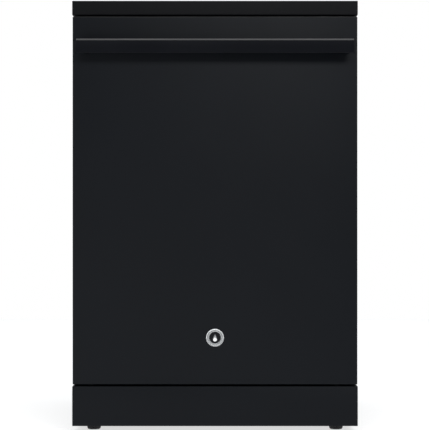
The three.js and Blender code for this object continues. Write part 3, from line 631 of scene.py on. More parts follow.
def makeBadge():
    # a turned ring with a satin band of fine dots round a dark disc, and a plain water drop in relief
    low, high = corners("badge")
    radius = (high[0] - low[0]) / 2
    depth = high[1] - low[1]
    centre = np.array([(low[0] + high[0]) / 2, high[1], (low[2] + high[2]) / 2])
    rim = badge["rim"] * radius
    band = badge["band"] * radius
    ring = [
        (0.0, 0.0), (-radius + 0.4 * mm, 0.0), (-radius, 0.3 * mm), (-radius, depth * 0.55),
        (-radius + 0.35 * mm, depth * 0.86), (-radius + 0.9 * mm, depth), (-rim - 0.25 * mm, depth * 0.93),
        (-rim, depth * 0.66), (0.0, depth * 0.66),
    ]
    profile = [(-r, -h) for r, h in ring]
    makePiece(
        "badgeRing", [turned(profile, centre, "y", 96)], paint["chrome"], "door", ["badge"],
    )
    bandProfile = [(band, -depth * 0.6), (band, -depth * 0.78), (band + 0.3 * mm, -depth * 0.82),
                   (rim - 0.5 * mm, -depth * 0.82), (rim - 0.25 * mm, -depth * 0.76),
                   (rim - 0.25 * mm, -depth * 0.6)]
    makePiece(
        "badgeBand", [turned(bandProfile + bandProfile[:1], centre, "y", 96)], paint["satin"], "door",
    )
    disc = [
        (0.0, -depth * 0.6), (band - 0.1 * mm, -depth * 0.6), (band - 0.1 * mm, -depth * 0.74),
        (0.0, -depth * 0.78),
    ]
    makePiece("badgeDisc", [turned(disc, centre, "y", 96)], paint["enamel"], "door")
    turn = np.linspace(0, 2 * math.pi, badge["dots"], endpoint=False)
    reach = (band + rim) / 2
    dots = np.stack([reach * np.cos(turn), np.zeros_like(turn), reach * np.sin(turn)], axis=-1)
    bead = [(0.0, -depth * 0.8), (0.42 * mm, -depth * 0.8), (0.42 * mm, -depth * 0.86), (0.0, -depth * 0.9)]
    makePiece(
        "badgeDots", [repeated(turned(bead, centre, "y", 8), dots)], paint["enamel"], "door",
    )
    # drop outline: x = w sin t sin^1.4(t/2), z = h cos t, narrow at the top
    t = np.linspace(0, 2 * math.pi, 64, endpoint=False)
    tall = badge["dropHeight"] * band
    x = 0.72 * tall * np.sin(t) * np.abs(np.sin(t / 2)) ** 1.3
    z = tall * np.cos(t) - 0.04 * tall
    shares = np.array([1.0, 1.0, 0.9, 0.62, 0.25])
    heights = np.array([0.7, 0.86, 0.95, 1.0, 1.02]) * depth
    rings = [
        np.stack([x * s, np.full_like(x, -h), z * s], axis=-1) + centre for s, h in zip(shares, heights)
    ]
    makePiece("badgeDrop", [loft(rings)], paint["chrome"], "door", sharp=50)


foot = {"ribs": 26, "ribDepth": 0.045, "pitch": 1.75 * mm}


def makeFeet():
    # a ribbed hand wheel under a threaded stem
    for name in ("front_left", "front_right", "rear_left", "rear_right"):
        low, high = corners("foot_" + name)
        centre = np.array([(low[0] + high[0]) / 2, (low[1] + high[1]) / 2, 0.0])
        radius = (high[0] - low[0]) / 2
        top = 21.5 * mm
        bottom = low[2]

        def ribbed(angle, height):
            grip = ease((height - 3.2 * mm) / mm) * ease((top - 2.2 * mm - height) / mm)
            return 1.0 - foot["ribDepth"] * grip * (0.5 - 0.5 * np.cos(foot["ribs"] * angle))

        disc = [
            (0.0, bottom), (radius - 2.6 * mm, bottom), (radius - 1.2 * mm, 0.7 * mm),
            (radius - 0.5 * mm, 2.2 * mm),
            (radius, 3.4 * mm), (radius, 4.6 * mm), (radius, 12 * mm), (radius, top - 3.4 * mm),
            (radius - 0.2 * mm, top - 2.0 * mm), (radius - 1.0 * mm, top - 0.6 * mm),
            (radius - 2.4 * mm, top),
            (5.2 * mm, top), (0.0, top),
        ]
        heights = np.arange(top, high[2] - 1.5 * mm, foot["pitch"] / 6)
        stemRadius = 3.7 * mm + 0.25 * mm * np.cos(2 * math.pi * heights / foot["pitch"])
        stem = [(0.0, top - mm)] + list(zip(stemRadius, heights)) + [(3.0 * mm, high[2]), (0.0, high[2])]
        parts = [turned(disc, centre, "z", foot["ribs"] * 8, ribbed), turned(stem, centre, "z", 24)]
        makePiece(
            "foot_" + name + "Ribbed", parts, paint["blackPlastic"], "foot_" + name,
            ["foot_" + name],
        )


makeCasing()
makeHandle()
makeBadge()
makeFeet()
print("stage: casing, handle, badge and feet")


rack = {
    "rim": 2.7 * mm,       # wire radii
    "wire": 1.8 * mm,
    "tine": 1.5 * mm,
    "corner": 16 * mm,
    "lowerHeight": 128 * mm,
    "lowerSide": 250 * mm,
    "lowerLean": 23 * mm,
    "upperSide": 247 * mm,
    "lowerWires": (15, 16),      # across and along
    "upperWires": (15, 17),
    "lowerTine": (74 * mm, 9 * mm),  # height and width
    "upperTine": (46 * mm, 8 * mm),
    "tineFoot": 7 * mm,
    "gripSide": 80 * mm,
    "gripBulge": 3 * mm,
    "shelfInside": 148 * mm,
    "shelfRise": 74 * mm,
    "shelfEnd": 34 * mm,
    "runnerRise": 45 * mm,
    "runnerHeight": 15 * mm,
}


def rackBasket(side, front, back, bottom, top, lean, across, along):
    # three rims, and wires bent in a U from rim to rim, both ways; the front leans out towards the top
    rim, wire = rack["rim"], rack["wire"]
    corner = rack["corner"]
    parts = []
    for share, radius in ((1.0, rim), (0.5, wire), (0.0, rim)):
        z = bottom + rim + (top - bottom - 2 * rim) * share
        x, y0, y1 = side - radius, front - lean * share + radius, back - radius
        loop = bent([(-x, y0, z), (x, y0, z), (x, y1, z), (-x, y1, z)], 2 * corner, 7, closed=True)
        parts.append(tube(loop, radius, (0, 0, 1), closed=True))
    inner = side - 2 * rim - wire * 0.6
    low = bottom + wire
    high = top - rim
    uAcross = bent([(-inner, 0, high), (-inner, 0, low), (inner, 0, low), (inner, 0, high)], corner, 5)
    rows = np.linspace(front + 26 * mm, back - 26 * mm, across)
    parts.append(repeated(tube(uAcross, wire, (0, 1, 0)), [(0, y, 0) for y in rows]))
    near, far = front + 2 * rim, back - 2 * rim
    low += 2 * wire
    uAlong = bent([(0, near - lean, high), (0, near, low), (0, far, low), (0, far, high)], corner, 5)
    columns = np.linspace(-inner + 24 * mm, inner - 24 * mm, along)
    parts.append(repeated(tube(uAlong, wire, (1, 0, 0)), [(x, 0, 0) for x in columns]))
    return parts


def tineRows(xs, ys, bottom, height, width):
    # hairpins standing on a wire, in rows across the rack
    tine = rack["tine"]
    top = bottom + height
    hairpin = [(-width / 2, 0, bottom), (-width / 2, 0, top), (width / 2, 0, top), (width / 2, 0, bottom)]
    pin = bent(hairpin, width * 0.48, 5)
    bar = tube(
        [(xs[0] - 10 * mm, 0, bottom), (0.5 * (xs[0] + xs[-1]), 0, bottom), (xs[-1] + 10 * mm, 0, bottom)],
        1.3 * tine, (0, 1, 0),
    )
    return [
        repeated(tube(pin, tine, (0, 1, 0), 6), [(x, y, 0) for y in ys for x in xs]),
        repeated(bar, [(0, y, 0) for y in ys]),
    ]


def makeGrip(name, body, y, z):
    # a rounded strip that bulges forward in the middle: depth = bulge * cos(pi x / 2 reach)
    reach = rack["gripSide"]
    x = np.linspace(-reach, reach, 41)
    path = np.stack([x, y - rack["gripBulge"] * np.cos(math.pi * x / (2 * reach)), np.full_like(x, z)], axis=-1)
    section = roundLoop(9 * mm, 4.6 * mm, 3.2 * mm)
    makePiece(name, [swept(path, section, (0, 0, 1))], paint["paleGrey"], body, sharp=50)


def makeLowerRack():
    low, high = corners("lower_rack")
    top = high[2]
    bottom = top - rack["lowerHeight"]
    front = low[1] + rack["lowerLean"]
    side = rack["lowerSide"]
    parts = rackBasket(side, front, high[1], bottom, top, rack["lowerLean"], *rack["lowerWires"])
    xs = np.linspace(-122 * mm, 218 * mm, 13)
    parts += tineRows(
        xs, np.linspace(front + 62 * mm, high[1] - 52 * mm, 5),
        bottom + rack["tineFoot"], *rack["lowerTine"],
    )
    makePiece("lowerRackWires", parts, paint["wire"], "lower_rack", ["lower_rack"], sharp=60)
    makeGrip("lowerRackGrip", "lower_rack", low[1] + rack["rim"] + 1.5 * mm, top - rack["rim"])
    for name in wheelNames:
        box0, box1 = corners("rack_wheel_" + name)
        centre = (box0 + box1) / 2
        side = math.copysign(1, centre[0])
        inside = side * rack["lowerSide"]
        hanger = [
            (0, centre[1] - 9 * mm, bottom + 9 * mm), (0, centre[1] + 9 * mm, bottom + 9 * mm),
            (0, centre[1] + 7 * mm, centre[2] - 7 * mm), (0, centre[1] - 7 * mm, centre[2] - 7 * mm),
        ]
        outline = bent(hanger, 5 * mm, 5, closed=True)
        rings = [outline + np.array([x, 0, 0]) for x in (inside - side * 5 * mm, inside + side * 0.5 * mm)]
        axle = [
            (0, -3 * mm), (2.9 * mm, -3 * mm), (2.9 * mm, 12 * mm), (2.2 * mm, 12.6 * mm), (0, 12.6 * mm),
        ]
        parts = [
            loft(rings), turned([(r, side * h) for r, h in axle], (inside, centre[1], centre[2]), "x", 20),
        ]
        makePiece("wheelCarrier_" + name, parts, paint["paleGrey"], "lower_rack")


wheel = {"rim": 3.0 * mm, "hub": 6.0 * mm, "bore": 3.4 * mm, "spokes": 6, "tread": 40}


def makeWheels():
    # a ribbed rim and a hub, each turned from a closed section, with spokes between them
    for name in wheelNames:
        low, high = corners("rack_wheel_" + name)
        centre = (low + high) / 2
        radius, half = (high[2] - low[2]) / 2, (high[0] - low[0]) / 2
        inner = radius - wheel["rim"]
        edge = 0.8 * mm
        rim = [
            (inner, -half), (radius - edge, -half), (radius, -half + edge), (radius, half - edge),
            (radius - edge, half), (inner, half), (inner - 0.5 * mm, 0.0),
        ]
        hub = [(wheel["bore"], -half), (wheel["hub"], -half), (wheel["hub"], half), (wheel["bore"], half)]

        def tread(angle, height):
            onTread = np.abs(height) < half - 0.5 * mm
            return 1.0 - 0.012 * (0.5 - 0.5 * np.cos(wheel["tread"] * angle)) * onTread

        parts = [
            turned(rim + rim[:1], centre, "x", 4 * wheel["tread"], tread),
            turned(hub + hub[:1], centre, "x", 40),
        ]
        for angle in np.linspace(0, 2 * math.pi, wheel["spokes"], endpoint=False):
            outward = np.array([0.0, math.cos(angle), math.sin(angle)])
            reach = np.linspace(wheel["hub"] - 0.6 * mm, inner + 0.6 * mm, 4)[:, None]
            parts.append(
                swept(centre + reach * outward, roundLoop(half * 0.55, 1.1 * mm, 0.5 * mm, 3), (1, 0, 0))
            )
        makePiece(
            "rackWheel_" + name, parts, paint["greyPlastic"], "rack_wheel_" + name,
            ["rack_wheel_" + name],
        )


def makeUpperRack():
    low, high = corners("upper_rack")
    side = rack["upperSide"]
    parts = rackBasket(side, low[1], high[1], low[2], high[2], 0.0, *rack["upperWires"])
    parts += tineRows(
        np.linspace(-95 * mm, 95 * mm, 8), np.linspace(low[1] + 70 * mm, high[1] - 60 * mm, 4),
        low[2] + rack["tineFoot"], *rack["upperTine"],
    )
    makePiece("upperRackWires", parts, paint["wire"], "upper_rack", ["upper_rack"], sharp=60)
    makeGrip("upperRackGrip", "upper_rack", low[1] + rack["rim"] + 1.5 * mm, high[2] - rack["rim"])
    shelves = []  # cup shelves along both sides: a rounded frame with cross wires
    z = low[2] + rack["shelfRise"]
    for end in (-1, 1):
        inside, outside = end * rack["shelfInside"], end * (side - 9 * mm)
        y0, y1 = low[1] + rack["shelfEnd"], high[1] - rack["shelfEnd"]
        frameLoop = bent(
            [(inside, y0, z + 5 * mm), (outside, y0, z), (outside, y1, z), (inside, y1, z + 5 * mm)],
            14 * mm, 6, closed=True,
        )
        shelves.append(tube(frameLoop, 2.0 * mm, (0, 0, 1), closed=True))
        bar = tube(
            [(inside, 0, z + 5 * mm), ((inside + outside) / 2, 0, z + 2.5 * mm), (outside, 0, z)], 1.4 * mm,
            (0, 1, 0), 6,
        )
        shelves.append(repeated(bar, [(0, y, 0) for y in np.linspace(y0 + 20 * mm, y1 - 20 * mm, 12)]))
    makePiece("cupShelves", shelves, paint["wire"], "upper_rack", sharp=60)
    channels = []  # C section, open outwards, with rounded lips
    rail0 = low[2] + rack["runnerRise"]
    rail1 = rail0 + rack["runnerHeight"]
    for end in (-1, 1):
        inside, outside = end * (side - 0.5 * mm), end * high[0]
        lip = 3.4 * mm
        web = inside + end * 1.8 * mm
        section = [
            (inside, rail0), (outside, rail0), (outside, rail0 + lip), (web, rail0 + 1.5 * lip),
            (web, rail1 - 1.5 * lip), (outside, rail1 - lip), (outside, rail1), (inside, rail1),
        ]
        ring = bent([(x, 0.0, zz) for x, zz in section], 0.7 * mm, 3, closed=True)
        ys = (low[1] + 5 * mm, high[1])
        channels.append(loft([ring + np.array([0, y, 0]) for y in ys]))
    makePiece("upperRunners", channels, paint["steelDeep"], "upper_rack", sharp=50)
    stops = []
    for end in (-1, 1):
        x = sorted((end * (side - 3 * mm), end * (high[0] + 0.2 * mm)))
        stops.append(
            roundedBlock(
                (x[0], low[1] + 2 * mm, rail0 - 0.6 * mm), (x[1], low[1] + 9 * mm, rail1 + 0.6 * mm),
                1.5 * mm, "y",
            )
        )
    makePiece("runnerStops", stops, paint["greyPlastic"], "upper_rack")


basket = {"pitch": 9.4 * mm, "bar": 0.27, "wall": 2.2 * mm, "cells": 4, "handleRise": 38 * mm}


def makeCutleryBasket():
    # lattice walls: a sheet is kept where either coordinate lies near a multiple of the pitch,
    # or near an edge
    low, high = corners("cutlery_basket")
    pitch, bar = basket["pitch"], basket["bar"]
    inset = basket["wall"] / 2
    low, high = low + inset, high - inset

    def latticeSheet(u0, u1, v0, v1, put):
        def kept(u, v):
            edge = np.minimum(np.minimum(u - u0, u1 - u), np.minimum(v - v0, v1 - v)) < 2.6 * mm
            phaseU = np.abs((u - u0) / pitch % 1.0 - 0.5) > 0.5 - bar / 2
            phaseV = np.abs((v - v0) / (1.6 * pitch) % 1.0 - 0.5) > 0.5 - bar / 3
            return edge | phaseU | phaseV
        us = np.linspace(u0, u1, int((u1 - u0) / (pitch * bar / 2)) + 1)
        vs = np.linspace(v0, v1, int((v1 - v0) / (pitch * bar / 2)) + 1)
        return sheetGrid(us, vs, put, kept)

    parts = []
    for x in (low[0], high[0]):
        parts.append(
            latticeSheet(
                low[1], high[1], low[2], high[2], lambda u, v,
                x=x: np.stack([np.full_like(u, x), u, v], -1),
            )
        )
    for y in np.linspace(low[1], high[1], basket["cells"] + 1):
        parts.append(
            latticeSheet(
                low[0], high[0], low[2], high[2], lambda u, v,
                y=y: np.stack([u, np.full_like(u, y), v], -1),
            )
        )
    parts.append(
        latticeSheet(
            low[0], high[0], low[1], high[1], lambda u, v: np.stack([u, v, np.full_like(u, low[2])], -1),
        )
    )
    piece = makePiece("cutleryBasketLattice", parts, paint["greyPlastic"], "lower_rack",
                      ["cutlery_basket"],
                      outward=False, merge=1e-9)
    thicken(piece, basket["wall"], 0.0)
    rimLoop = bent([
        (low[0], low[1], high[2]), (high[0], low[1], high[2]), (high[0], high[1], high[2]),
        (low[0], high[1], high[2]),
    ],
                   5 * mm, 5, closed=True)
    middle = (low + high) / 2
    top = high[2] + basket["handleRise"]
    arch = bent([(middle[0], low[1] + 34 * mm, high[2]), (middle[0], low[1] + 48 * mm, top),
                 (middle[0], high[1] - 48 * mm, top), (middle[0], high[1] - 34 * mm, high[2])], 16 * mm, 7)
    parts = [
        tube(rimLoop, 2.3 * mm, (0, 0, 1), closed=True),
        swept(arch, roundLoop(7 * mm, 2.6 * mm, 2.2 * mm), (1, 0, 0)),
    ]
    for y in (low[1] + 34 * mm, high[1] - 34 * mm):
        parts.append(
            roundedBlock(
                (low[0], y - 4 * mm, high[2] - 3 * mm), (high[0], y + 4 * mm, high[2] + 1.5 * mm), 1.4 * mm,
                "x",
            )
        )
    makePiece("cutleryBasketHandle", parts, paint["greyPlastic"], "lower_rack", sharp=50)


spray = {"bladeUp": 3 * mm, "blade": 12 * mm, "power": 0.72}


def makeSprayArm(node, body, jets):
    # blade rings: y = w sgn(cos a)|cos a|^p, z = h sgn(sin a)|sin a|^p;
    # w and h fall off as a half circle at the tips
    low, high = corners(node)
    hubX, hubY = (low[0] + high[0]) / 2, (low[1] + high[1]) / 2
    reach, width = (high[0] - low[0]) / 2, 17 * mm
    half = spray["blade"] / 2
    level = low[2] + spray["bladeUp"] + half
    s = np.linspace(-1, 1, 61)
    x = np.sin(s * math.pi / 2) * reach
    tip = np.clip((np.abs(x) - (reach - width)) / width, 0, 1)
    cap = np.maximum(np.sqrt(1 - tip**2), 0.06)
    w = width * (1 - 0.22 * np.abs(x) / reach) * cap
    h = half * (1 - 0.3 * np.abs(x) / reach) * (0.35 + 0.65 * cap)
    a = np.linspace(0, 2 * math.pi, 32, endpoint=False)[None, :]
    power = spray["power"]
    y = w[:, None] * np.sign(np.cos(a)) * np.abs(np.cos(a)) ** power
    z = h[:, None] * np.sign(np.sin(a)) * np.abs(np.sin(a)) ** power
    # groove along the upper face
    z = z - 1.3 * mm * bead(y, 5 * mm) * (np.sin(a) > 0.2) * (cap[:, None] > 0.5)
    rings = np.stack([np.broadcast_to(x[:, None], y.shape) + hubX, y + hubY, z + level], axis=-1)
    top = high[2]
    hub = [(0, low[2]), (13 * mm, low[2]), (22.5 * mm, low[2] + 1.5 * mm), (24 * mm, low[2] + 3.2 * mm),
           (24 * mm, top - 4 * mm),
           (22 * mm, top - 1.6 * mm), (15 * mm, top - 0.8 * mm), (13.5 * mm, top), (0, top)]
    along = np.concatenate([-jets, jets]) * reach
    offset = np.where(np.arange(len(along)) % 2 == 0, 5.5, -5.5) * mm
    lift = half * (1 - 0.3 * np.abs(along) / reach)
    spots = np.stack([along + hubX, offset + hubY, level + lift - 1.2 * mm], axis=-1)
    collar = [
        (1.9 * mm, 0.2 * mm), (4.2 * mm, 0), (3.8 * mm, 1.7 * mm), (3.1 * mm, 2.3 * mm),
        (2.2 * mm, 2.1 * mm),
    ]
    parts = [
        loft(rings), turned(hub, (hubX, hubY, 0), "z", 48),
        repeated(turned(collar + collar[:1], (0, 0, 0), "z", 16), spots),
    ]
    makePiece(node + "Blade", parts, paint["paleGrey"], body, [node], sharp=50)
    hole = repeated(
        turned(
            [(0, 0.6 * mm), (2.4 * mm, 0.6 * mm), (2.4 * mm, 1.5 * mm), (0, 1.5 * mm)], (0, 0, 0), "z", 12,
        ), spots,
    )
    makePiece(node + "Jets", [hole], paint["blackPlastic"], body)


pipe = {"bend": 26 * mm, "dockLength": 17 * mm}


def makePipes():
    low, high = corners("feed_pipe")
    half = 7.6 * mm
    hubY = low[1] + 15 * mm
    rise, run = high[1] - half, high[2] - half
    path = bent([(0, rise, low[2]), (0, rise, run), (0, hubY, run)], pipe["bend"], 10)
    outlet = [(0, run - 7 * mm), (13 * mm, run - 7 * mm), (14.6 * mm, run - 4 * mm),
              (14.6 * mm, run + 4 * mm), (12 * mm, run + 6.6 * mm),
              (0, run + 6.6 * mm)]
    parts = [
        swept(path, roundLoop(14.6 * mm, half - 0.3 * mm, 4 * mm), (1, 0, 0)),
        turned(outlet, (0, hubY, 0), "z", 40),
    ]
    dockZ = sum(c[2] for c in corners("upper_feed_pipe")) / 2
    face = rise - half
    dock = [(0, 1 * mm), (11 * mm, 1 * mm), (11 * mm, -6 * mm), (9 * mm, -8 * mm),
            (8.4 * mm, -pipe["dockLength"] + 3 * mm), (6.4 * mm, -pipe["dockLength"] + 3 * mm),
            (6.4 * mm, -4 * mm), (0, -4 * mm)]
    parts.append(turned(dock, (0, face, dockZ), "y", 36))
    for z in (low[2] + 60 * mm, dockZ + 120 * mm, run - 90 * mm):
        parts.append(
            roundedBlock((-19 * mm, face + 3 * mm, z), (19 * mm, high[1], z + 14 * mm), 1.6 * mm, "x")
        )
    makePiece(
        "feedPipeMoulding", parts, paint["greyPlastic"], "cabinet", ["feed_pipe"], sharp=45,
    )
    low, high = corners("upper_feed_pipe")
    middle = (low[2] + high[2]) / 2
    hubY = low[1] + 18 * mm
    path = [(0, hubY, middle), (0, hubY + 60 * mm, middle), (0, high[1], middle)]
    hub = [
        (0, low[2]), (16 * mm, low[2]), (18 * mm, low[2] + 2 * mm), (18 * mm, high[2] - 2 * mm),
        (16 * mm, high[2]), (0, high[2]),
    ]
    collar = [
        (0, -7 * mm), (8.6 * mm, -7 * mm), (9.4 * mm, -6 * mm), (9.4 * mm, -1 * mm), (8.6 * mm, 0), (0, 0),
    ]
    parts = [swept(path, roundLoop(11.8 * mm, 6.6 * mm, 4 * mm), (1, 0, 0)),
             turned(hub, (0, hubY, 0), "z", 40),
             turned([(0.74 * r, h) for r, h in collar], (0, high[1], middle), "y", 32)]
    makePiece(
        "upperFeedMoulding", parts, paint["greyPlastic"], "upper_rack", ["upper_feed_pipe"],
        sharp=45,
    )


wheelNames = ["front_left", "front_right", "rear_left", "rear_right"]
makeLowerRack()
makeWheels()
makeUpperRack()
makeCutleryBasket()
makeSprayArm("lower_spray_arm", "lower_arm", np.array([0.24, 0.38, 0.52, 0.66, 0.8, 0.91]))
makeSprayArm("upper_spray_arm", "upper_arm", np.array([0.26, 0.44, 0.62, 0.78, 0.9]))
makeSprayArm("ceiling_spray_arm", "ceiling_arm", np.array([0.4, 0.64, 0.86]))
makePipes()
print("stage: racks, wheels, basket, spray arms and pipes")


liner = {
    "thickness": 0.8 * mm,
    "margin": 33 * mm,        # flange round the raised middle
    "foot": 70 * mm,
    "head": 12 * mm,
    "slope": 13 * mm,         # width of the rounded step up to the raised middle
    "corner": 30 * mm,
    "groove": 1.6 * mm,
    "notchGap": 0.6 * mm,
    "notchHeight": 52 * mm,
    "hem": 7 * mm,            # width and thickness of the outer panel's edge folded over the flange
    "hemThickness": 0.6 * mm,
}


def makeLiner():
    # y = flange + rise * ease(depth inside the rounded rectangle / slope),
    # with pressed grooves on the raised middle
    low, high = corners("door_liner")
    middleX = (low[0] + high[0]) / 2
    x0, x1 = low[0] + liner["margin"], high[0] - liner["margin"]
    z0, z1 = low[2] + liner["foot"], high[2] - liner["head"]
    middleZ = (z0 + z1) / 2
    box0, box1 = corners("dispenser_housing")
    bracketLow, bracketHigh = corners("hinge_bracket_right")
    notch0 = corners("hinge_arm_right")[0][0] + liner["notchGap"]
    notch1 = bracketHigh[0] + liner["notchGap"]
    notchTop = bracketLow[2] + liner["notchHeight"]
    front = low[1] + 0.4 * mm
    rise = high[1] - front - liner["thickness"]

    def put(x, z):
        depth = insideDepth(x - middleX, z - middleZ, (x1 - x0) / 2, (z1 - z0) / 2, liner["corner"])
        step = ease(depth / liner["slope"])
        ring = bead(depth - 34 * mm, 5 * mm)
        barPlaces = (z0 + 92 * mm, z0 + 120 * mm, z1 - 96 * mm)
        bars = sum(bead(z - at, 6 * mm) for at in barPlaces)
        bars = bars * ease((depth - 60 * mm) / (8 * mm))
        edge = np.minimum(np.minimum(x - low[0], high[0] - x), np.minimum(z - low[2], high[2] - z))
        hem = 1.2 * mm * (1 - ease(edge / (5 * mm)))
        return np.stack(
            [x, front + rise * step - liner["groove"] * (ring + bars) * step - hem * 0.6, z], axis=-1,
        )

    def kept(x, z):
        acrossHole = (x > box0[0] - 0.3 * mm) & (x < box1[0] + 0.3 * mm)
        hole = acrossHole & (z > box0[2] - 0.3 * mm) & (z < box1[2] + 0.3 * mm)
        notch = (np.abs(x) > notch0) & (np.abs(x) < notch1) & (z < notchTop)
        return ~(hole | notch)

    notches = [side * c for side in (-1, 1) for c in (notch0, notch1)]
    xs = lines(low[0], high[0], 4.5 * mm, box0[0] - 0.3 * mm, box1[0] + 0.3 * mm, *notches)
    zs = lines(low[2], high[2], 4.5 * mm, box0[2] - 0.3 * mm, box1[2] + 0.3 * mm, notchTop)
    piece = makePiece("doorLinerPressing", [sheetGrid(xs, zs, put, kept)], paint["steelAcross"], "door",
                      ["door_liner"], outward=False)
    thicken(piece, liner["thickness"], 0.0)
    screws = [
        (
            side * (high[0] - 12 * mm), front + 0.4 * mm, z,
        ) for side in (-1, 1) for z in np.linspace(low[2] + 70 * mm, high[2] - 60 * mm, 5)
    ]
    heads = repeated(screwHead(4.2 * mm, 1.6 * mm, (0, 1, 0), (1, 0, 0)), screws)
    makePiece("linerScrews", [heads], paint["chrome"], "door", sharp=30)
    strips = []
    for side in (-1, 1):
        edges = sorted((side * high[0], side * (high[0] - liner["hem"])))
        strips.append(roundedBlock(
            np.array([edges[0], front, low[2]]),
            np.array([edges[1], front + liner["thickness"] + liner["hemThickness"], high[2]]),
            0.25 * mm, axis="z", steps=2, perCorner=3))
    makePiece("doorPanelHem", strips, paint["black"], "door", sharp=60)


tub = {
    "corner": 30 * mm,
    "lip": 4 * mm,
    "lipBend": 2 * mm,
    "thickness": 0.8 * mm,
    "ribs": 1.6 * mm,
}


def tubArch(side, bottom, top, corner):
    # up the left wall, round both corners and down the right one, with the outward direction
    quarter = np.linspace(0, math.pi / 2, 12)
    rise = np.linspace(bottom, top - corner, 64)
    span = np.linspace(-side + corner, side - corner, 60)
    x = np.concatenate([np.full(64, -side), -side + corner - corner * np.cos(quarter), span,
                        side - corner + corner * np.sin(quarter), np.full(64, side)])
    z = np.concatenate([rise, top - corner + corner * np.sin(quarter), np.full(60, top),
                        top - corner + corner * np.cos(quarter), rise[::-1]])
    outX = np.concatenate([np.full(64, -1.0), -np.cos(quarter), np.zeros(60), np.sin(quarter), np.ones(64)])
    outZ = np.concatenate([np.zeros(64), np.sin(quarter), np.ones(60), np.cos(quarter), np.zeros(64)])
    return x, z, outX, outZ


def makeTub():
    # the wrap is an arch carried from front to back: pressed bands at set depths push it outwards
    low, high = corners("tub_wrap")
    side = corners("tub_back")[1][0] - tub["thickness"]
    top = high[2] - tub["thickness"]
    x, z, outX, outZ = tubArch(side, low[2], top, tub["corner"])
    turn = np.linspace(0, math.pi / 2, 6)
    ys = np.concatenate([
        np.full(1, low[1]), low[1] + tub["lipBend"] * (1 - np.cos(turn)),
        np.arange(low[1] + 5 * mm, high[1], 4 * mm), [high[1]],
    ])
    push = np.concatenate([[tub["lip"]], tub["lipBend"] * (1 - np.sin(turn)), np.zeros(len(ys) - 7)])
    bands = sum(bead(ys - (low[1] + at * (high[1] - low[1])), 9 * mm) for at in (0.16, 0.5, 0.84))
    steady = ease((z - low[2] - 40 * mm) / (20 * mm))
    reach = push[None, :] + tub["ribs"] * bands[None, :] * steady[:, None] + 0.4 * mm
    points = np.stack(
        [
            x[:, None] + outX[:, None] * reach, np.broadcast_to(ys, reach.shape),
            z[:, None] + outZ[:, None] * reach,
        ], axis=-1,
    )
    wrap = (points.reshape(-1, 3), gridFaces(len(x), len(ys)).tolist())
    piece = makePiece(
        "tubWrapSheet", [wrap], paint["steelDeep"], "cabinet", ["tub_wrap"], outward=False,
    )
    thicken(piece, tub["thickness"], 0.0)

    low, high = corners("tub_back")
    middleZ = (low[2] + high[2]) / 2

    def backPlace(u, v):
        # pressed back: two rounded frames either side of the pipe, and level bars inside them
        frameDepth = insideDepth(
            np.abs(u) - 148 * mm, v - middleZ, 104 * mm, 0.43 * (high[2] - low[2]), 34 * mm,
        )
        bars = sum(bead(v - (low[2] + at * (high[2] - low[2])), 7 * mm) for at in (0.28, 0.42, 0.56, 0.70))
        press = 2.2 * mm * (bead(frameDepth, 8 * mm) + bars * ease((frameDepth - 24 * mm) / (12 * mm)))
        return np.stack([u, (low[1] + high[1]) / 2 - press, v], axis=-1)

    backSheet = sheetGrid(lines(low[0], high[0], 4.5 * mm), lines(low[2], high[2], 4.5 * mm), backPlace)
    piece = makePiece(
        "tubBackPressing", [backSheet], paint["steelAcross"], "cabinet", ["tub_back"],
        outward=False,
    )
    thicken(piece, tub["thickness"], 0.0)

    low, high = corners("tub_floor")
    sheetTop = corners("filter_plate")[0][2] - 0.3 * mm
    track = high[2] - sheetTop
    trackIn = corners("rack_wheel_front_right")[0][0] - 6 * mm
    sumpX, sumpY = [sum(c[i] for c in corners("filter_plate")) / 2 for i in (0, 1)]
    saltX, saltY = [sum(c[i] for c in corners("salt_cap")) / 2 for i in (0, 1)]
    armX, armY = 0.0, sum(c[1] for c in corners("lower_spray_arm")) / 2

    def floorPlace(u, v):
        # flat round the filter, salt neck and arm, rising gently to the walls,
        # with a step up to each track
        fromSump = np.hypot(u - sumpX, v - sumpY)
        clear = np.minimum(
            np.minimum(fromSump - 90 * mm, np.hypot(u - saltX, v - saltY) - 40 * mm),
            np.hypot(u - armX, v - armY) - 34 * mm,
        )
        fall = 3.2 * mm * ease(clear / (120 * mm))
        step = ease((np.abs(u) - trackIn) / (5 * mm))
        fillet = 9 * mm * ease((v - high[1] + 16 * mm) / (16 * mm)) * (1 - step)
        return np.stack(
            [u, v, sheetTop - 0.4 * mm + np.maximum((1 - step) * fall + step * track, fillet)], axis=-1,
        )

    def floorKept(u, v):
        offSump = np.hypot(u - sumpX, v - sumpY) > 52 * mm
        offSalt = np.hypot(u - saltX, v - saltY) > 26 * mm
        return offSump & offSalt & (np.hypot(u, v - armY) > 10 * mm)

    floorSheet = sheetGrid(
        lines(low[0], high[0], 4 * mm, -trackIn, trackIn), lines(low[1], high[1], 4 * mm), floorPlace,
        floorKept,
    )
    lipZ = np.linspace(low[2], sheetTop - 0.4 * mm, 4)
    lip = sheetGrid(lines(low[0] + 1 * mm, high[0] - 1 * mm, 8 * mm), lipZ,
                    lambda u, v: np.stack([u, np.full_like(u, low[1]), v], axis=-1))
    piece = makePiece(
        "tubFloorPressing", [floorSheet, lip], paint["steelDeep"], "cabinet", ["tub_floor"],
        outward=False,
    )
    thicken(piece, tub["thickness"], 0.0)


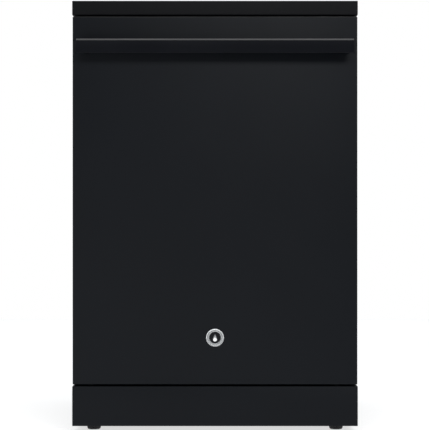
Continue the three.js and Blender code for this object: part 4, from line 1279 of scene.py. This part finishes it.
def makeGasket():
    # a hollow-looking bulb with a lip, carried round the mouth of the tub
    low, high = corners("tub_gasket")
    half = 5.5 * mm
    x, z = tubArch(high[0] - half, low[2], high[2] - half, tub["corner"])[:2]
    path = np.stack([x, np.full_like(x, (low[1] + high[1]) / 2), z], axis=-1)
    a = np.linspace(0, 2 * math.pi, 24, endpoint=False)
    bulb = 1 + 0.16 * np.cos(3 * a + 0.6)
    section = np.stack([2.75 * mm * bulb * np.cos(a), 4.5 * mm * bulb * np.sin(a)], axis=-1)
    makePiece(
        "tubSeal", [swept(path, section, (0, 1, 0))], paint["greyRubber"], "cabinet",
        ["tub_gasket"], sharp=60,
    )


dispenser = {"cupCorner": 7 * mm, "wall": 2 * mm}


def makeDispenser():
    low, high = corners("dispenser_housing")
    lid0, lid1 = corners("dispenser_lid")
    cup0, cup1 = lid0 + 4 * mm, lid1 - 4 * mm
    depth = 28 * mm
    middle = (low + high) / 2
    half = (high - low) / 2
    cupMiddle, cupHalf = (cup0 + cup1) / 2, (cup1 - cup0) / 2

    def put(u, v):
        # rounded rim, the cup sunk by ease(depth inside it / 3 mm), and two guide ribs beside the cup's lid
        rim = insideDepth(u - middle[0], v - middle[2], half[0], half[2], 10 * mm)
        inCup = insideDepth(
            u - cupMiddle[0], v - cupMiddle[2], cupHalf[0], cupHalf[2], dispenser["cupCorner"],
        )
        inPlate = ease((rim - 5 * mm) / (3 * mm))
        ribs = bead(
            np.abs(u - cupMiddle[0]) - (lid1[0] - lid0[0]) / 2 - 2.2 * mm, 1.3 * mm,
        ) * (v > cup0[2] - 4 * mm) * (v < high[2] - 12 * mm)
        y = high[1] - 1.1 * mm * (1 - ease(rim / (2.5 * mm))) - 0.7 * mm * inPlate
        y = y + 1.5 * mm * ribs - depth * ease(inCup / (3 * mm))
        return np.stack([u, y, v], axis=-1)

    us = lines(
        low[0], high[0], 2 * mm, *np.linspace(cup0[0], cup0[0] + 3 * mm, 4),
        *np.linspace(cup1[0] - 3 * mm, cup1[0], 4),
    )
    vs = lines(
        low[2], high[2], 2 * mm, *np.linspace(cup0[2], cup0[2] + 3 * mm, 4),
        *np.linspace(cup1[2] - 3 * mm, cup1[2], 4),
    )
    piece = makePiece("dispenserMoulding", [sheetGrid(us, vs, put)], paint["greyPlastic"], "door",
                      ["dispenser_housing"], outward=False)
    thicken(piece, dispenser["wall"], -1.0)
    # sliding lid: a rounded slab with finger ridges across its lower half
    span = lid1 - lid0
    centre = (lid0 + lid1) / 2

    def lidPlace(u, v):
        rim = insideDepth(u - centre[0], v - centre[2], span[0] / 2, span[2] / 2, 6 * mm)
        wave = np.clip(np.cos((v - lid0[2]) * 2 * math.pi / (4.2 * mm)), 0, 1)
        gripFoot = ease((v - lid0[2] - 9 * mm) / (2 * mm))
        gripTop = ease((lid0[2] + 38 * mm - v) / (2 * mm))
        zone = gripFoot * gripTop * (np.abs(u - centre[0]) < 20 * mm)
        return np.stack(
            [
                u,
                lid1[1] - 1.4 * mm * (1 - ease(rim / (2.6 * mm))) - 0.9 * mm * zone + 0.9 * mm * zone * wave,
                v,
            ], axis=-1,
        )

    slab = sheetGrid(lines(lid0[0], lid1[0], 1.2 * mm), lines(lid0[2], lid1[2], 0.7 * mm), lidPlace,
                     lambda u,
                     v: insideDepth(
                         u - centre[0], v - centre[2], span[0] / 2, span[2] / 2, 6 * mm,
                     ) > -0.4 * mm)
    piece = makePiece(
        "dispenserLidSlab", [slab], paint["paleGrey"], "detergent_lid", ["dispenser_lid"],
        outward=False,
    )
    thicken(piece, 1.8 * mm, -1.0)
    # rinse-aid cap: a scalloped disc with a raised bar to turn it by
    low, high = corners("rinse_aid_cap")
    centre = (low + high) / 2
    radius, thick = (high[0] - low[0]) / 2, high[1] - low[1]
    cap = [(0, 0), (radius - 1.2 * mm, 0), (radius, 0.8 * mm), (radius, thick - 1.4 * mm),
           (radius - 1.4 * mm, thick),
           (radius - 5 * mm, thick), (radius - 6 * mm, thick - 1.4 * mm), (0, thick - 1.4 * mm)]
    scallops = turned(
        cap, (centre[0], low[1], centre[2]), "y", 144, lambda a,
        h: 1 - 0.018 * (0.5 - 0.5 * np.cos(18 * a)),
    )
    bar = roundedBlock(
        (centre[0] - 15 * mm, high[1] - 2.2 * mm, centre[2] - 3 * mm),
        (centre[0] + 15 * mm, high[1] + 0.6 * mm, centre[2] + 3 * mm), 1.2 * mm, "x",
    )
    makePiece(
        "rinseCapDisc", [scallops, bar], paint["blue"], "rinse_cap", ["rinse_aid_cap"],
        sharp=45,
    )
    eye = [(0, -0.5 * mm), (5.4 * mm, -0.5 * mm), (5.4 * mm, 0.7 * mm), (4.6 * mm, 1.3 * mm), (0, 1.6 * mm)]
    box0, box1 = corners("dispenser_housing")
    makePiece(
        "fillEye", [turned(eye, (centre[0], box1[1] - 0.7 * mm, box0[2] + 24 * mm), "y", 32)],
        paint["window"], "door",
    )


controls = {"ledRadius": 1.3 * mm, "ledGap": 5 * mm}


def makeControls():
    # buttons with rounded tops that dip in the middle, a light by each, and the window's bezel
    for index in range(1, 5):
        low, high = corners("button_%d" % index)
        middle, half = (low + high) / 2, (high - low) / 2
        levels = [(0.0, low[2]), (0.0, high[2] - 1.4 * mm), (0.3 * mm, high[2] - 0.5 * mm),
                  (1.1 * mm, high[2]), (2.2 * mm, high[2] - 0.15 * mm),
                  (3.6 * mm, high[2] - 0.5 * mm), (5.2 * mm, high[2] - 0.6 * mm)]
        rings = []
        for shrink, z in levels:
            loop = roundLoop(half[0] - shrink, half[1] - shrink, max(2.4 * mm - shrink, 0.3 * mm), 6)
            rings.append(
                np.column_stack([loop[:, 0] + middle[0], loop[:, 1] + middle[1], np.full(len(loop), z)])
            )
        makePiece("buttonCap_%d" % index, [loft(rings)], paint["greyPlastic"], "button_%d" % index,
                  ["button_%d" % index], sharp=40)
    top = corners("control_housing")[1][2]
    lampY = corners("button_1")[0][1] - controls["ledGap"]
    dome = [
        (0, -0.6 * mm), (controls["ledRadius"], -0.6 * mm), (controls["ledRadius"], 0.1 * mm),
        (0.7 * controls["ledRadius"], 0.35 * mm), (0, 0.45 * mm),
    ]
    spots = [
        (
            (corners("button_%d" % i)[0][0] + corners("button_%d" % i)[1][0]) / 2, lampY, top,
        ) for i in range(1, 5)
    ]
    makePiece(
        "indicatorLights", [repeated(turned(dome, (0, 0, 0), "z", 16), spots)], paint["glow"], "door",
    )
    low, high = corners("display_window")
    middle, half = (low + high) / 2, (high - low) / 2
    outline = roundLoop(half[0] + 1.6 * mm, half[1] + 1.6 * mm, 3 * mm, 8)
    frameRings = []
    for grow, z in (
        (0.0, top - 0.2 * mm), (0.0, top + 0.4 * mm), (-0.9 * mm, top + 0.6 * mm),
        (-1.8 * mm, top + 0.1 * mm), (-1.8 * mm, top - 0.2 * mm),
    ):
        loop = roundLoop(half[0] + 1.6 * mm + grow, half[1] + 1.6 * mm + grow, 3 * mm, 8)
        frameRings.append(
            np.column_stack([loop[:, 0] + middle[0], loop[:, 1] + middle[1], np.full(len(outline), z)])
        )
    makePiece(
        "windowBezel", [loft(frameRings + frameRings[:1], capped=False)], paint["greyPlastic"], "door",
        sharp=40,
    )
    glass = roundedBlock(low, high + np.array([0, 0, -0.1 * mm]), 0.8 * mm, "z")
    makePiece("displayGlass", [glass], paint["window"], "door", ["display_window"])


sump = {"grips": 8}


def makeFilters():
    low, high = corners("filter_plate")
    centre = ((low[0] + high[0]) / 2, (low[1] + high[1]) / 2, 0.0)
    radius = (high[0] - low[0]) / 2
    hole = (corners("filter_cylinder")[1][0] - corners("filter_cylinder")[0][0]) / 2 - 3.5 * mm
    z = low[2]
    plate = [(hole, z), (radius - 1.2 * mm, z), (radius, z + 0.5 * mm), (radius - 0.8 * mm, z + 1.5 * mm),
             (radius - 5 * mm, z + 1.6 * mm),
             (radius - 7 * mm, z + 0.8 * mm), (hole + 5 * mm, z + 0.8 * mm), (hole + 3 * mm, z + 1.0 * mm),
             (hole, z + 0.7 * mm)]
    makePiece(
        "filterPlateDish", [turned(plate + plate[:1], centre, "z", 96)], paint["mesh"], "cabinet",
        ["filter_plate"],
    )
    low, high = corners("filter_cylinder")
    radius = (high[0] - low[0]) / 2
    rimTop = high[2] - 9 * mm
    body = [(0, low[2]), (radius - 4.4 * mm, low[2]), (radius - 4.4 * mm, rimTop - 4 * mm),
            (radius - 4 * mm, rimTop - 3.8 * mm),
            (radius - 0.6 * mm, rimTop - 3.6 * mm), (radius, rimTop - 3 * mm), (radius, rimTop - 1 * mm),
            (radius - 1 * mm, rimTop),
            (radius - 7 * mm, rimTop - 0.4 * mm), (radius - 9 * mm, rimTop - 2 * mm),
            (17 * mm, rimTop - 1.6 * mm), (15.5 * mm, rimTop + 3 * mm),
            (14 * mm, high[2] - 1.5 * mm), (12 * mm, high[2]), (0, high[2])]
    cup = turned(
        body, centre, "z", 128, lambda a,
        h: 1 - 0.035 * (0.5 - 0.5 * np.cos(sump["grips"] * a)) * (h > rimTop + 1 * mm),
    )
    x, y = centre[0], centre[1]
    wings = [roundedBlock(
        (x - 30 * mm, y - 2.5 * mm, rimTop - 2 * mm), (x + 30 * mm, y + 2.5 * mm, rimTop + 5 * mm),
        1.6 * mm, "x",
    ),
             roundedBlock(
                 (x - 2.5 * mm, y - 30 * mm, rimTop - 2 * mm), (x + 2.5 * mm, y + 30 * mm, rimTop + 5 * mm),
                 1.6 * mm, "y",
             )]
    makePiece(
        "filterCup", [cup] + wings, paint["paleGrey"], "filter", ["filter_cylinder"],
        sharp=45,
    )
    low, high = corners("salt_cap")
    centre = ((low[0] + high[0]) / 2, (low[1] + high[1]) / 2, 0.0)
    radius = (high[0] - low[0]) / 2
    z = low[2]
    lid = [(0, z), (radius - 1 * mm, z), (radius, z + 1 * mm), (radius, z + 4.6 * mm),
           (radius - 1.4 * mm, z + 6.2 * mm), (radius - 6 * mm, z + 6.7 * mm),
           (radius - 8 * mm, z + 5.4 * mm), (0, z + 5.4 * mm)]
    knurl = turned(
        lid, centre, "z", 160, lambda a, h: 1 - 0.02 * (0.5 - 0.5 * np.cos(20 * a)) * (h > z + 0.8 * mm),
    )
    bar = roundedBlock(
        (low[0] + 7 * mm, centre[1] - 4 * mm, z + 4 * mm), (high[0] - 7 * mm, centre[1] + 4 * mm, high[2]),
        1.8 * mm, "x",
    )
    makePiece(
        "saltCapKnurled", [knurl, bar], paint["paleGrey"], "salt_lid", ["salt_cap"],
        sharp=45,
    )


back = {"bead": 2.0 * mm, "slots": 9, "slotPitch": 13 * mm, "slotHeight": 4 * mm, "slotSide": 62 * mm}


def makeBack():
    # pressed rear sheet: two rounded frames, level bars, and rows of slots low down
    low, high = corners("rear_panel")
    middleZ = (low[2] + high[2]) / 2
    slotBase = low[2] + 46 * mm

    def put(u, v):
        frameDepth = insideDepth(
            np.abs(u) - 142 * mm, v - middleZ - 40 * mm, 112 * mm, 0.36 * (high[2] - low[2]), 30 * mm,
        )
        bars = sum(bead(v - (low[2] + at * (high[2] - low[2])), 9 * mm) for at in (0.45, 0.6, 0.75))
        press = back["bead"] * (bead(frameDepth, 10 * mm) + bars * ease((frameDepth - 26 * mm) / (12 * mm)))
        return np.stack([u, (low[1] + high[1]) / 2 - press, v], axis=-1)

    def kept(u, v):
        row = (v - slotBase) / back["slotPitch"]
        inRow = (row > 0) & (row < back["slots"]) & ((row % 1.0) * back["slotPitch"] < back["slotHeight"])
        return ~(inRow & (np.abs(np.abs(u) - 150 * mm) < back["slotSide"]))

    slotLines = [
        slotBase + i * back["slotPitch"] + add
        for i in range(back["slots"]) for add in (0.0, back["slotHeight"])
    ]
    edges = [side * (150 * mm + out * back["slotSide"]) for side in (-1, 1) for out in (-1, 1)]
    sheet = sheetGrid(
        lines(low[0], high[0], 5 * mm, *edges), lines(low[2], high[2], 5 * mm, *slotLines), put, kept,
    )
    piece = makePiece(
        "rearPanelPressing", [sheet], paint["zinc"], "cabinet", ["rear_panel"], outward=False,
    )
    thicken(piece, 0.8 * mm, 0.0)
    xs = np.linspace(low[0] + 12 * mm, high[0] - 12 * mm, 4)
    zs = np.linspace(low[2] + 30 * mm, high[2] - 12 * mm, 5)
    spots = [(x, high[1], z) for x in xs[[0, -1]] for z in zs]
    spots += [(x, high[1], high[2] - 12 * mm) for x in xs[1:-1]]
    makePiece(
        "rearScrews", [repeated(screwHead(4.6 * mm, 1.4 * mm, (0, 1, 0), (1, 0, 0)), spots)],
        paint["chrome"], "cabinet", sharp=30,
    )


def makePorts():
    # threaded inlet: radius swings by cos along it; drain spigot softened from the frame's node; hexagonal
    # gland nut
    low, high = corners("inlet_valve")
    tray = corners("base_tray")[1][1]
    x, z = (low[0] + high[0]) / 2, (low[2] + high[2]) / 2
    softened("inlet_valve", paint["whitePlastic"], "cabinet", 0.6 * mm, 2)
    run = np.arange(tray + 0.6 * mm, high[1], 0.3 * mm)
    thread = 11.6 * mm + 0.5 * mm * np.cos(run * 2 * math.pi / (1.8 * mm))
    ring = [
        (8.2 * mm, high[1]), (8.2 * mm, tray), (11.4 * mm, tray),
    ] + list(zip(thread, run)) + [(11.2 * mm, high[1] + 0.05 * mm)]
    makePiece(
        "inletThread", [turned(ring + ring[:1], (x, 0, z), "y", 48)], paint["whitePlastic"], "cabinet",
        sharp=50,
    )
    softened("drain_port", paint["blackPlastic"], "cabinet", 0.6 * mm, 2)
    softened("cable_gland", paint["blackPlastic"], "cabinet", 0.6 * mm, 2)
    low, high = corners("cable_gland")
    x, z = (low[0] + high[0]) / 2, (low[2] + high[2]) / 2
    hexagon = np.linspace(0, 2 * math.pi, 6, endpoint=False)
    shares = [(11.4 * mm, tray + 0.2 * mm), (12.2 * mm, tray + 0.9 * mm), (12.2 * mm, high[1] - 0.9 * mm),
              (11.4 * mm, high[1] + 0.1 * mm),
              (6.4 * mm, high[1] + 0.1 * mm), (6.4 * mm, tray + 0.2 * mm)]
    rings = [
        np.column_stack([x + r * np.cos(hexagon), np.full(6, y), z + r * np.sin(hexagon)]) for r,
        y in shares
    ]
    makePiece(
        "glandNut", [loft(rings + rings[:1], capped=False)], paint["blackPlastic"], "cabinet",
        sharp=30,
    )


def makeMetalwork():
    for name in sideNames:
        softened("hinge_bracket_" + name, paint["zinc"], "cabinet", 0.4 * mm, 2)
        softened("hinge_arm_" + name, paint["zinc"], "door", 0.4 * mm, 2)
        softened("rail_guide_" + name, paint["whitePlastic"], "cabinet", 0.8 * mm, 2)
    softened("latch_hook", paint["zinc"], "door", 0.5 * mm, 2)


def keepPlain(names, material):
    for name in names:
        nodes[name].data.materials.clear()
        nodes[name].data.materials.append(material)


makeLiner()
makeTub()
makeGasket()
makeDispenser()
makeControls()
makeFilters()
makeBack()
makePorts()
makeMetalwork()
keepPlain(["sump", "circulation_pump"], paint["greyPlastic"])
keepPlain(["drain_pump"], paint["blackPlastic"])
keepPlain(["water_softener"], paint["whitePlastic"])
keepPlain(["door_insulation"], paint["rubber"])
print("stage: liner, tub, seal, dispenser, controls, filters, back and ports")
